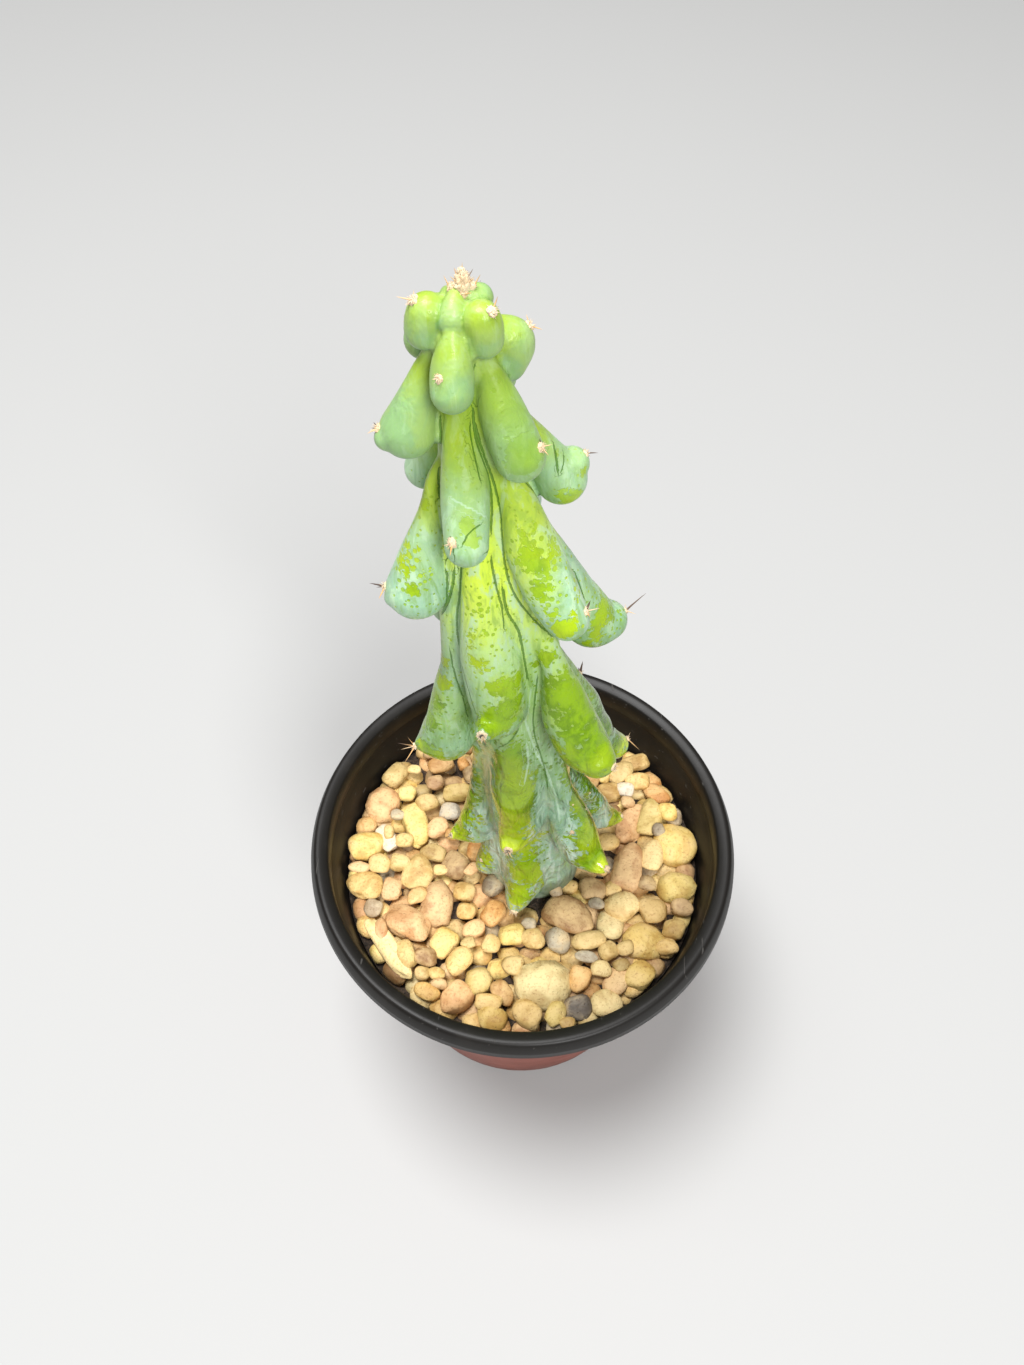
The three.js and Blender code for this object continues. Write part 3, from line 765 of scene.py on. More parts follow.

    # over both: painted shade, a deep green, in the sharp upper creases; pale scars, dark furrow lines,
    # and cork where the stem meets the gravel
    wander = (flecks - 0.5) * 1.2 + (patches - 0.5) * 0.8
    lines = 0
    for offset in offsets:
        lines = finish.largest(lines, step(finish.size(offset + wander), 1.0, 0.5))
    lines = lines * nearLine
    cork = step(height + patches * 10, 84, 77) * covered * step(tip, 0.3, 0.05)
    # painted shade: the middle of the stem, below the young top and above the foot, is darkened
    shaded = step(height, 188, 140) * step(height, 92, 126)
    colour = mix((1 - lost) * 0.94, green, bloom)
    colour = finish.paint(finish.darken(shaded * 0.8, colour, (0.58, 0.64, 0.42)), [
        # painted shade in the creases where neighbouring ribs close up, fading out on the old lower skin
        (step(gap, 0.8, 0.1) * (0.6 - old * 0.6), (0.10, 0.24, 0.012)),
        (step(finish.size(scar + wander * 0.5), 1.3, 0.5) * 0.5, (0.46, 0.62, 0.46)),
        (lines * 0.8, (0.06, 0.17, 0.01)),
        (cork * 0.8, (0.15, 0.16, 0.09)),
    ])

    waves = finish.noise(finish.stretch(place, (1, 1, 0.55)), 260, 3, 0.5, 1.0)
    folds = finish.bump(waves * (0.2 + old * 0.8), 0.0024, 0.85)
    level = (1 - lost) * 0.5 + streaks * 0.7 + grains * 0.3 + flecks * 0.1 - lines * 1.6 + cork * patches
    return finish.surface({
        "Base Color": colour,
        "Roughness": 0.36 - lost * 0.08 + cork * 0.3 + (streaks - 0.5) * 0.3,
        "Specular IOR Level": 0.2,
        "Coat Weight": 0.1 + old * 0.8 * (1 - cork),
        "Coat Roughness": 0.09,
        "Coat IOR": 1.42,
        "Subsurface Weight": 0.10,
        "Subsurface Radius": (0.6, 1.0, 0.25),
        "Subsurface Scale": 0.0015,
        "Normal": finish.bump(level, 0.00022, 0.8, folds),
    })


stem, stemCore, stemDrops = makeStem()
dressStem(stem, stemCore, stemDrops)


# Areoles: a pad of wool with dark and straw-coloured spines, and the woolly tip.

areoles = {
    # mark on the photograph, the pad's radius, 1 for a hollow pad, then its spines: how many
    # pixels the tip lies to the right and down, the radius at the root and how dark it is
    "seen": [
        (413, 300, 0.8, 0, [(-14, 0, 0.16, 0.1), (3, -9, 0.1, 0)]),
        (492, 312, 0.8, 0, [(4, -14, 0.16, 0.35), (-3, -5, 0.1, 0), (4, 5, 0.1, 0)]),
        (530, 325, 0.7, 0, [(-6, -9, 0.13, 0), (10, 7, 0.14, 0.15), (0, -6, 0.1, 0)]),
        (438.5, 379, 0.65, 0, [(-3, -3, 0.08, 0.2), (3, -3, 0.08, 0.2)]),
        (378, 428, 0.75, 0, [(-8, 7, 0.14, 0.1), (-3, -5, 0.16, 0.8), (-5, 1, 0.12, 0.6)]),
        (541, 447, 0.8, 0, [(-4, -8, 0.2, 0.9), (9, -2, 0.12, 0.1), (5, 9, 0.16, 0.15)]),
        (586, 453, 0.65, 0, [(10, 1, 0.14, 0.85), (3, 5, 0.12, 0.1), (-3, -3, 0.12, 0.3)]),
        (452, 543, 0.85, 0, [(-1, -8, 0.26, 1), (-8, 2, 0.1, 0.3), (1, 12, 0.2, 0.1)]),
        (383, 586, 0.75, 0, [(-12, -3, 0.2, 1), (-3, 13, 0.18, 0.1), (-7, 2, 0.14, 0.8)]),
        (586, 611, 0.75, 0, [(2, -10, 0.28, 1), (11, -2, 0.14, 0.15), (2, 7, 0.18, 0.3)]),
        (627, 610, 0.6, 0, [(14, -16, 0.16, 0.9), (8, 5, 0.13, 0.2), (-3, -6, 0.08, 0)]),
        (482, 736, 0.95, 1, [(5, 8, 0.12, 0.4), (0, 7, 0.1, 0.1)]),
        (415, 746, 0.7, 0, [(-14, -4, 0.12, 0.5), (-5, 16, 0.13, 0.3), (-5, -10, 0.1, 0.4),
            (-11, 2, 0.1, 0.2)]),
        (614, 767, 0.8, 1, []),
        (629, 738, 0.65, 0, [(8, 13, 0.13, 0.35), (5, 7, 0.12, 0.6), (1, -6, 0.08, 0.2)]),
        (508, 851, 1, 1, [(5, 6, 0.12, 0.3), (3, 8, 0.1, 0.7)]),
        (451, 835, 0.6, 1, [(-4, 3, 0.14, 0.9), (-3, -1, 0.1, 0.7)]),
        (607, 869, 0.85, 0, [(3, 3, 0.1, 0.2)]),
        (622, 816, 0.5, 0, []),
        (514, 912, 1, 0, [(-3, 4, 0.1, 0.2), (3, 4, 0.1, 0.3)]),
        (481, 860, 0.55, 0, []),
        (583, 670, 0.6, 1, [(1, -9, 0.3, 0.9), (-3, -4, 0.15, 0.8)]),
        (572, 832, 0.5, 0, [(-2, -4, 0.1, 0.3), (3, 1, 0.12, 0.1), (-3, 4, 0.1, 0.2)]),
        (590, 793, 0.28, 0, []),
        (586, 809, 0.25, 0, []),
        (573, 805, 0.25, 0, []),
    ],
    # for the drops behind: how many spines, their length and root radius
    "spines": 4,
    "spineLength": 2.2,
    "spineRadius": 0.14,
    "padRadius": 0.75,
    "padTall": 0.6,
    "padSunk": 0.15,
    "towardsUs": 0.3,  # lean of the seen spines off the skin
    "fibres": 22,
    "fibreRadius": 0.07,
    "crownFibres": 44,
    # rings of a spine: share of its length and of its root radius
    "spineRings": [(0.15, 1.25), (0.4, 0.85), (0.75, 0.5), (1.0, 0.06)],
    # tufts of wool at the tip, from the axis: place, radius and tallness
    "crown": [
        (0.9, 0.1, 232.5, 1.2, 0.9), (0.95, 0.1, 233.4, 0.9, 1.1), (1, 0.1, 234.3, 0.5, 1.3),
        (-0.5, -0.2, 232.3, 0.6, 1.1), (2, 0.2, 232.3, 0.6, 1), (0.1, -0.7, 231.7, 0.75, 0.8),
        (0.9, -0.8, 231.9, 0.7, 0.8), (0.8, 1.1, 232.2, 1, 0.8),
    ],
    # spines of the tip: place from the axis, way to the tip, radius, how dark
    "crownSpines": [
        (1, 0, 234.3, 0.1, 0.2, 1.3, 0.13, 0.15), (-0.9, -0.2, 232.8, -0.5, 0.1, 1.1, 0.12, 0.25),
        (2.6, 0.3, 232.8, 0.6, 0.1, 1.1, 0.12, 0.3), (0.2, -1.1, 232, -0.5, -0.5, 0.4, 0.1, 0.1),
        (1.5, -1.2, 232.2, 0.7, -0.4, 0.4, 0.1, 0.2), (0.2, 0.8, 233.2, -0.4, 0.6, 0.9, 0.1, 0.3),
        (1.6, 0.9, 233.1, 0.6, 0.7, 0.8, 0.1, 0.5), (0.9, -0.9, 233, 0.2, -0.7, 0.6, 0.09, 0.1),
        (0.1, -0.3, 233.4, -0.6, -0.2, 0.8, 0.1, 0.1), (1.9, -0.3, 233.3, 0.7, -0.2, 0.8, 0.1, 0.2),
    ],
}
rng = random.Random(5)


def addSpine(whole, point, way, radius, dark, sides=6, sunk=0.5):
    # a tapered, slightly bent thorn; its shade runs from root to tip
    bm = bmesh.new()
    shade = bm.verts.layers.float_vector.new("shade")
    length = way.length
    turn = way.to_track_quat("Z", "Y").to_matrix().to_4x4()
    bend = Vector((rng.uniform(-1, 1), rng.uniform(-1, 1), 0)) * 0.07 * length
    bmesh.ops.create_circle(bm, cap_ends=False, segments=sides, radius=radius * 0.9)
    rings = [(0, list(bm.verts))]
    edges = list(bm.edges)
    for t, size in areoles["spineRings"]:
        ring, edges = growRing(bm, edges)
        for vert in ring:
            vert.co = Vector((vert.co.x, vert.co.y, 0)).normalized() * radius * size
        bmesh.ops.translate(bm, verts=ring, vec=(0, 0, t * (length + sunk)))
        rings.append((t, ring))
    tint = rng.random()
    for t, ring in rings:
        for vert in ring:
            vert.co += bend * t * t
            vert.co.z -= sunk
            vert.co = turn @ vert.co + point
            vert[shade] = (t, dark, tint)
    bmesh.ops.recalc_face_normals(bm, faces=bm.faces)
    addTo(whole, bm)


def addPad(whole, point, look, radius, tall, hollow, fibres):
    # a lump of wool, dented in its middle when hollow, with loose fibres
    bm = bmesh.new()
    shade = bm.verts.layers.float_vector.new("shade")
    turn = look.to_track_quat("Z", "Y").to_matrix().to_4x4()
    bmesh.ops.create_icosphere(bm, subdivisions=3, radius=radius)
    tint = rng.random()
    shift = Vector((rng.uniform(-9, 9), 0, 0))
    for vert in bm.verts:
        middle = math.exp(-(math.hypot(vert.co.x, vert.co.y) / (0.5 * radius)) ** 2) * (vert.co.z > 0)
        rough = noise.noise(vert.co * 2.2 + shift) * 0.35 + noise.noise(vert.co * 5 + shift) * 0.2
        vert.co *= 1 + rough - 0.55 * hollow * middle
        vert.co.z *= tall
        vert.co = turn @ vert.co + point
        vert[shade] = (0.3, hollow * middle, tint)
    addTo(whole, bm)
    for i in range(fibres):
        way = Vector((rng.gauss(0, 1), rng.gauss(0, 1), rng.uniform(0.1, 2.2) * tall)).normalized()
        way = turn @ way
        length = radius * rng.uniform(0.3, 0.75)
        root = point + way * radius * 0.75
        addSpine(whole, root, (way + look * 0.3) * length, areoles["fibreRadius"], 0, 3, 0.2)


def sitPad(whole, place, pad, hollow, fibres):
    # a pad on the skin nearest to a place
    point, look = stem.closest_point_on_mesh(Vector(place))[1:3]
    root = point - look * areoles["padSunk"] * pad
    addPad(whole, root, look, pad, areoles["padTall"], hollow, fibres)
    return point, look


def makeAreoles():
    wool = bmesh.new()
    spines = bmesh.new()
    for bm in (wool, spines):
        bm.verts.layers.float_vector.new("shade")
    sight = Sight(stem.data)
    for x, y, pad, hollow, thorns in areoles["seen"]:
        place, normal, pixel = sight.find(x, y)
        point, look = sitPad(wool, place, pad, hollow, areoles["fibres"] if pad > 0.4 else 0)
        for aside, down, radius, dark in thorns:
            way = (sight.side * aside - sight.up * down) * pixel
            way += normal * areoles["towardsUs"] * way.length
            addSpine(spines, point, way, radius, dark)
    for rib, bare, look, balls in stemDrops:
        if look is None:
            continue
        outer = Vector(balls[-1, :3]) + look * (balls[-1, 3] + 1)
        pad = areoles["padRadius"] * rng.uniform(0.85, 1.15)
        point, look = sitPad(wool, outer, pad, rng.choice((0, 0, 1)), areoles["fibres"])
        aside = Vector((0, 0, 1)).cross(look).normalized()
        start = rng.uniform(0, 6)
        for i in range(areoles["spines"]):
            roll = Matrix.Rotation(start + 2 * math.pi * i / areoles["spines"], 3, look)
            way = roll @ Matrix.Rotation(rng.uniform(0.5, 1.1), 3, aside) @ look
            length = areoles["spineLength"] * rng.uniform(0.5, 1.3)
            addSpine(spines, point, way * length, areoles["spineRadius"], rng.random())
    for x, y, z, radius, tall in areoles["crown"]:
        point = stemCentre(z) + Vector((x, y, 0))
        up = Vector((0.04, 0, 1)).normalized()
        addPad(wool, point, up, radius, tall, 0, areoles["crownFibres"])
    for x, y, z, wayX, wayY, wayZ, radius, dark in areoles["crownSpines"]:
        point = stemCentre(z) + Vector((x, y, 0))
        addSpine(spines, point, Vector((wayX, wayY, wayZ)), radius, dark)
    return wool, spines


def makeWoolFinish():
    finish = Finish("areole_wool")
    hollow, tint = finish.split(finish.attribute("shade"))[1:]
    fuzz = finish.noise(finish.place(), 3000, 4, 0.7)
    colour = finish.mix(tint, (0.84, 0.71, 0.48), (0.74, 0.54, 0.32))
    colour = finish.mix(finish.step(fuzz, 0.48, 0.64) * 0.6, colour, (0.38, 0.21, 0.09))
    # painted shade: the dent in the middle of a hollow pad is coloured near black
    colour = finish.mix(hollow * 2.6, colour, (0.03, 0.016, 0.009))
    relief = finish.bump(fuzz, 0.0003, 0.9)
    return finish.surface({
        "Base Color": colour,
        "Roughness": 0.85,
        "Sheen Weight": 0.35,
        "Normal": relief,
    })


def makeSpineFinish():
    finish = Finish("spines")
    along, dark, tint = finish.split(finish.attribute("shade"))
    straw = finish.mix(tint, (0.66, 0.36, 0.12), (0.62, 0.46, 0.28))
    black = finish.mix(tint, (0.035, 0.018, 0.01), (0.09, 0.045, 0.022))
    share = finish.step(dark + along * 0.25, 0.4, 0.75)
    rings = finish.noise(finish.place(), 4200, 2)
    return finish.surface({
        "Base Color": finish.mix(share, straw, black),
        "Roughness": 0.42 + rings * 0.2,
        "Normal": finish.bump(rings, 0.0001, 0.5),
    })


woolMesh, spineMesh = makeAreoles()
finishPiece(stem, makeSkinFinish(), "cactus")
wool = makeObject("cactus_wool", meshFrom(woolMesh, "wool"))
finishPiece(wool, makeWoolFinish(), "cactus")
spines = makeObject("cactus_spines", meshFrom(spineMesh, "spines"))
finishPiece(spines, makeSpineFinish(), "cactus")


# Pot: one folded sheet, black inside and over the rim, red outside.

pot = {
    "height": 84,
    "ridgeRadius": 50,
    "lipWidth": 2.7,
    "collarRadius": 52,
    "collarDrop": 4.8,
    "baseRadius": 35.3,
    "sheet": 1,
    "floor": 1.2,
    "ledgeHeight": 76,
    "ledgeStep": 0.8,
    "drainHoles": 6,
    "drainRadius": 3.5,
    "drainRing": 24,
    "sides": 160,
}
throatRadius = pot["ridgeRadius"] - pot["lipWidth"]


def outerWall(height):
    under = throatRadius + pot["sheet"] - pot["ledgeStep"]
    return lerp(pot["baseRadius"], under, height / pot["ledgeHeight"])


def innerWall(height):
    return outerWall(height) - pot["sheet"]


def potProfile():
    # radius, height and whether the sheet shows its red side there
    top, ledge, floor, throat = pot["height"], pot["ledgeHeight"], pot["floor"], throatRadius
    base, ridge, collar = pot["baseRadius"], pot["ridgeRadius"], pot["collarRadius"]
    edge = top - pot["collarDrop"]
    return [
        (0, 0, 1), (base - 4.2, 0, 1), (base - 3.6, 0.0, 1), (base - floor, 0, 1),
        (outerWall(floor), floor, 1), (outerWall(10), 10, 1), (outerWall(30), 30, 1),
        (outerWall(52), 52, 1), (outerWall(ledge), ledge, 1), (throat + 1, ledge + 1, 1),
        (throat + 1, top - 1.8, 1), (ridge - 0.4, top - 1.2, 1), (collar - 1, edge + 0.1, 1),
        (collar, edge, 0), (collar - 0.3, edge + 2, 0), (ridge + 0.9, top - 0.9, 0),
        (ridge + 0.55, top - 0.25, 0), (ridge, top, 0), (ridge - 0.7, top - 0.12, 0),
        (throat + 0.5, top - 0.5, 0), (throat, top - 0.9, 0), (throat - 0.1, ledge + 2, 0),
        (throat, ledge + 1.3, 0), (innerWall(ledge), ledge + 0.3, 0), (innerWall(60), 60, 0),
        (innerWall(30), 30, 0), (innerWall(floor), floor, 0), (0, floor, 0),
    ]


def makePot():
    bm = bmesh.new()
    red = bm.verts.layers.float.new("redSide")
    rail = []
    for radius, level, side in potProfile():
        vert = bm.verts.new((radius, 0, level))
        vert[red] = side
        rail.append(vert)
    spinRail(bm, rail, pot["sides"])
    piece = makeObject("nursery_pot", meshFrom(bm, "nursery_pot"))
    drill = bmesh.new()
    for i in range(pot["drainHoles"]):
        angle = 2 * math.pi * (i + 0.5) / pot["drainHoles"]
        place = Vector((math.cos(angle), math.sin(angle), 0)) * pot["drainRing"]
        bmesh.ops.create_cone(
            drill, cap_ends=True, segments=32, radius1=pot["drainRadius"],
            radius2=pot["drainRadius"], depth=6, matrix=Matrix.Translation(place))
    cutter = makeObject("drill", meshFrom(drill, "drill"))
    cut = piece.modifiers.new("drain", "BOOLEAN")
    cut.operation = "DIFFERENCE"
    cut.object = cutter
    bakeModifiers(piece)
    bpy.data.objects.remove(cutter)
    return piece


def makePotFinish():
    finish = Finish("two_tone_plastic")
    place = finish.place()
    red = finish.step(finish.attribute("redSide", "Fac"), 0.4, 0.6)
    dust = finish.noise(place, 70, 5, 0.6)
    fine = finish.noise(place, 900, 3)
    rings = finish.noise(finish.stretch(place, (0.05, 0.05, 1)), 900, 3)
    scratch = finish.noise(finish.stretch(place, (1, 0.06, 1), (0.3, 0.2, 0.7)), 1100, 2, 0.5, 0.4)
    marks = finish.step(scratch, 0.69, 0.73)
    black = finish.mix(finish.step(dust, 0.5, 0.75) * 0.5, (0.006, 0.005, 0.004), (0.020, 0.017, 0.014))
    brick = finish.mix(finish.step(dust, 0.4, 0.7), (0.22, 0.044, 0.022), (0.16, 0.033, 0.017))
    colour = finish.mix(red, black, brick)
    colour = finish.mix(marks * 0.25, colour, (0.16, 0.15, 0.14))
    relief = finish.bump(fine * 0.3 + rings * 0.4 + marks * 0.5, 0.00006, 0.7)
    return finish.surface({
        "Base Color": colour,
        "Roughness": 0.36 + dust * 0.16 + marks * 0.2,
        "Specular IOR Level": 0.25,
        "Normal": relief,
    })


finishPiece(makePot(), makePotFinish(), "pot")


# Gravel: pea gravel on a bed of dark grit.

gravel = {
    "bed": 66.4,
    "top": 71.0,
    "wallGap": 0.3,
    # heights at which the layers meet the wall
    "underLevel": 65,
    "fillLevel": 67,
    "topLevel": 68,
    "flatness": 0.64,
    "underStep": 5.4,
    "underSize": (6, 8.5),
    "underHeight": 4.4,
    "wallStones": 38,
    "tallest": 7.6,
    "fillTries": 1500,
    "fillSizes": (4.6, 5.4, 6.2, 7, 7.8, 8.4),
    "sink": 0.9,
    "gridReach": 48,
    "gridStep": 0.5,
    # how many of each colour in a draw of 32
    "mixture": {"tan": 10, "pink": 5, "cream": 4, "yellow": 4, "brown": 4, "grey": 2, "orange": 3},
    "dropOverlap": 0.4,
    "stemOverlap": 2.6,
    "flats": 6,
    "flatDepths": (0.80, 0.98),
    "rounding": 9,  # the higher, the sharper the edges between flats
}

stoneColours = {
    "tan": (0.60, 0.42, 0.15),
    "pink": (0.62, 0.385, 0.185),
    "cream": (0.71, 0.57, 0.27),
    "yellow": (0.66, 0.49, 0.15),
    "white": (0.60, 0.55, 0.46),
    "grey": (0.35, 0.31, 0.23),
    "dark": (0.11, 0.105, 0.10),
    "brown": (0.34, 0.215, 0.095),
    "orange": (0.59, 0.33, 0.11),
}

# x, y, length, width, turn of the long side, colour
listedStones = [
    (-39, 14.5, 12, 9, 75, "pink"), (-35.5, 23, 9, 6, 60, "tan"), (-30, 24, 4, 3, 0, "cream"),
    (-31.5, 17, 5, 5, 0, "yellow"), (-25.5, 14.5, 7, 5, 20, "tan"), (-24, 20.5, 5, 5, 0, "pink"),
    (-33, 10.7, 4, 3.5, 0, "grey"), (-28, 8, 14, 7, -65, "yellow"), (-35.5, 4.5, 9.5, 5, -50, "white"),
    (-40, 1.5, 10, 8.5, 20, "yellow"), (-22.3, 7.5, 6.5, 5, 30, "pink"), (-19.5, 12.5, 6, 5, 0, "white"),
    (-30.5, 3, 5, 4, 10, "tan"), (-22.5, 0.5, 7, 4.5, -15, "tan"), (-36, -3.5, 6, 5.5, 0, "tan"),
    (-31, -2.5, 6, 5, 0, "tan"), (-41.2, -4.5, 5.5, 3.5, 0, "pink"), (-26, -5.5, 10, 8, 80, "tan"),
    (-17, -2.5, 8, 7, -60, "brown"), (-20.5, -4.5, 4, 3, 0, "tan"), (-39.2, -9, 9.5, 7, 0, "tan"),
    (-32.5, -9.5, 6.5, 5.5, 90, "pink"), (-21, -13, 12.5, 9.5, 80, "pink"), (-14, -9.5, 6, 5.5, 0, "tan"),
    (-36.5, -15, 5, 5, 0, "grey"), (-28, -18, 14.5, 8.5, -25, "pink"), (-13, -15, 5.5, 4.5, 0, "tan"),
    (-6.5, -14.5, 8, 6, 60, "orange"), (-11, -19, 6, 5, 0, "pink"), (-33.5, -22, 8, 4, -80, "pink"),
    (-33, -26, 19, 5, -50, "cream"), (-27, -27, 8, 5.5, -60, "tan"), (-18, -22.5, 8.5, 7, 55, "yellow"),
    (-22, -27, 6, 5, 0, "brown"), (-14, -27.5, 8, 6, 55, "tan"), (-12, -23, 4, 3, 0, "tan"),
    (-1.5, -20, 7, 6, 0, "yellow"), (-6.5, -23, 5, 5, 0, "tan"), (-1, -28, 6, 5, 0, "tan"),
    (3.5, -21, 6.5, 5.5, 0, "tan"), (9.5, -21, 6.5, 6.5, 0, "grey"), (12, -14, 13, 9.5, -15, "brown"),
    (2.5, -17.5, 4, 3, 0, "grey"), (6.8, -32, 15, 13.5, 0, "cream"), (-9, -32, 7.5, 7.5, 0, "yellow"),
    (-14, -36, 9, 7.5, 75, "pink"), (-3, -34.5, 7, 5, -60, "orange"), (-22.5, -31, 4, 3.5, 0, "tan"),
    (-19, -31, 4, 3.5, 0, "tan"), (-21, -35.5, 7, 4.5, -20, "tan"), (-5, -40.5, 8, 6, 0, "yellow"),
    (3, -39.5, 8, 6.5, -25, "tan"), (-6.5, -37, 7, 4, 0, "tan"), (9.5, -39, 7, 4.5, 65, "yellow"),
    (14.8, -37, 7, 6.5, 0, "dark"), (12.5, -41, 4, 3, 0, "tan"), (21.5, -35.5, 7.5, 6.5, 10, "cream"),
    (15, -30, 6.5, 6, 60, "orange"), (20, -27.8, 5, 4.5, 0, "cream"), (24, -30, 8, 6, 60, "pink"),
    (29.5, -29, 8, 6.5, 60, "yellow"), (17, -20.5, 9, 5, 5, "tan"), (16.5, -25, 6, 3, 0, "grey"),
    (22, -23, 5, 5, 0, "tan"), (26, -22.5, 4.5, 4, 0, "tan"), (25.5, -11.5, 9, 8, 30, "cream"),
    (22.5, -16, 7.5, 7, 0, "cream"), (30.5, -19.5, 11.5, 11, 0, "yellow"), (36, -21.5, 6, 4.5, 0, "tan"),
    (38, -17, 6, 5.5, 0, "tan"), (33, -12, 7.5, 7, 0, "tan"), (40, -11.5, 5.5, 5, 0, "pink"),
    (39.2, -5.5, 11, 9, 0, "yellow"), (39, 6.5, 12.5, 11, 90, "yellow"), (33.5, 2.5, 10, 6, 75, "cream"),
    (27, -1.5, 14, 8, 75, "pink"), (31.5, -5.5, 5, 4, 0, "brown"), (18, -7.5, 7, 6.5, 0, "brown"),
    (23, -7, 5, 5, 0, "tan"), (19, -11.5, 4, 3, 0, "grey"), (28, 12, 12, 7, 60, "pink"),
    (33, 13.5, 11, 7, 65, "yellow"), (37.5, 15, 5, 5, 0, "yellow"), (35, 20.5, 8, 5.5, -35, "orange"),
    (30, 24, 7, 5, 0, "tan"), (29.5, 30, 8.5, 5.5, 20, "tan"), (25.5, 26.5, 8, 6, 60, "tan"),
    (26.5, 21, 5, 4.5, 0, "white"), (22.5, 21, 7, 6, 0, "tan"), (27, 17, 4, 3.5, 0, "pink"),
    (35, 9.5, 4, 3.5, 0, "grey"), (22, 6, 6, 5, 0, "tan"), (-23, 26, 8, 5, 15, "orange"),
    (-18, 18, 9, 5, 10, "yellow"),
]


class Bed:
    # the stones laid so far and the ground that they make
    def __init__(self):
        line = np.arange(-gravel["gridReach"], gravel["gridReach"], gravel["gridStep"])
        self.grid = np.meshgrid(line, line, indexing="ij")
        self.ground = np.full(self.grid[0].shape, float(gravel["bed"]))
        self.stones = []

    def cellsUnder(self, x, y, length, width, turn):
        # the grid's cells under a stone, and how far its skin rises there
        cosine, sine = math.cos(turn), math.sin(turn)
        across, deep = self.grid[0] - x, self.grid[1] - y
        u = (across * cosine + deep * sine) / (length / 2)
        v = (deep * cosine - across * sine) / (width / 2)
        inside = 1 - u ** 2 - v ** 2
        cells = inside > 0
        return cells, np.sqrt(inside[cells])

    def lay(self, x, y, centre, length, width, height, turn, name):
        cells, rise = self.cellsUnder(x, y, length, width, turn)
        self.ground[cells] = np.maximum(self.ground[cells], centre + rise * height / 2)
        self.stones.append((x, y, centre, length, width, height, turn, name))


def isOverPlant(x, y, size, top):
    for rib, bare, look, balls in stemDrops:
        near = balls[:, 3] + size - gravel["dropOverlap"]
        aside = np.hypot(balls[:, 0] - x, balls[:, 1] - y) < near
        if np.any(aside & (balls[:, 2] - balls[:, 3] < top + 0.2)):
            return True
    foot = stemCentre(70)
    return math.hypot(x - foot.x, y - foot.y) < girthAt(70) + size - gravel["stemOverlap"]


def layUnder(bed, draw, names):
    # a layer on a loose grid, so that no bed shows
    step = gravel["underStep"]
    span = int(50 / step)
    wall = innerWall(gravel["underLevel"]) - gravel["wallGap"]
    for i in range(-span, span + 1):
        for j in range(-span, span + 1):
            x = (i + 0.5 * (j % 2) + draw.uniform(-0.25, 0.25)) * step
            y = (j * 0.87 + draw.uniform(-0.25, 0.25)) * step
            length = draw.uniform(*gravel["underSize"])
            width = length * draw.uniform(0.75, 0.95)
            if math.hypot(x, y) + length / 2 > wall:
                continue
            if isOverPlant(x, y, 0.42 * length, gravel["bed"] + 1.5):
                continue
            centre = gravel["bed"] - 0.8
            bed.lay(x, y, centre, length, width, gravel["underHeight"], 0, draw.choice(names))


def layWallRing(bed, draw, names):
    for i in range(gravel["wallStones"]):
        angle = 2 * math.pi * (i + draw.uniform(-0.2, 0.2)) / gravel["wallStones"]
        length, width = draw.uniform(6, 7.4), draw.uniform(4.6, 5.6)
        reach = innerWall(gravel["fillLevel"]) - gravel["wallGap"] - 0.52 * width
        x, y = reach * math.cos(angle), reach * math.sin(angle)
        centre = gravel["bed"] + draw.uniform(0, 1.5)
        turn = angle + math.pi / 2
        bed.lay(x, y, centre, length, width, gravel["underHeight"], turn, draw.choice(names))


def layListed(bed, draw):
    for x, y, length, width, turn, name in listedStones:
        height = min(gravel["flatness"] * width, gravel["tallest"]) * draw.uniform(0.92, 1.05)
        limit = innerWall(gravel["topLevel"]) - gravel["wallGap"] - 0.42 * (length + width) / 2
        pull = min(1, limit / math.hypot(x, y))
        top = gravel["top"] + draw.uniform(-0.6, 0.7)
        x, y = x * pull, y * pull
        if isOverPlant(x, y, 0.35 * width, top):
            top -= 1.2
        bed.lay(x, y, top - height / 2, length, width, height, math.radians(turn), name)


def layFill(bed, draw, names):
    # small stones dropped at random, kept where they come to rest low enough
    wall = innerWall(gravel["fillLevel"])
    for i in range(gravel["fillTries"]):
        reach = (wall - 1.5) * math.sqrt(draw.random())
        angle = draw.uniform(0, 2 * math.pi)
        x, y = reach * math.cos(angle), reach * math.sin(angle)
        length = draw.choice(gravel["fillSizes"]) * draw.uniform(0.9, 1.1)
        width = length * draw.uniform(0.68, 0.95)
        height = width * draw.uniform(0.62, 0.85)
        turn = draw.uniform(0, math.pi)
        if math.hypot(x, y) + length / 2 > wall - gravel["wallGap"]:
            continue
        cells, rise = bed.cellsUnder(x, y, length, width, turn)
        if not cells.any():
            continue
        centre = float(np.max(bed.ground[cells] + rise * height / 2)) - gravel["sink"]
        top = centre + height / 2
        if top > gravel["top"] + 0.5 or isOverPlant(x, y, 0.42 * length, top):
            continue
        bed.lay(x, y, centre, length, width, height, turn, draw.choice(names))


def placeStones():
    draw = random.Random(11)
    names = [name for name, count in gravel["mixture"].items() for i in range(count)]
    bed = Bed()
    layUnder(bed, draw, names)
    layWallRing(bed, draw, names)
    layListed(bed, draw)
    layFill(bed, draw, names)
    return bed.stones


def looseWay(draw, way, spread):
    return Vector([draw.gauss(value, spread) for value in way]).normalized()


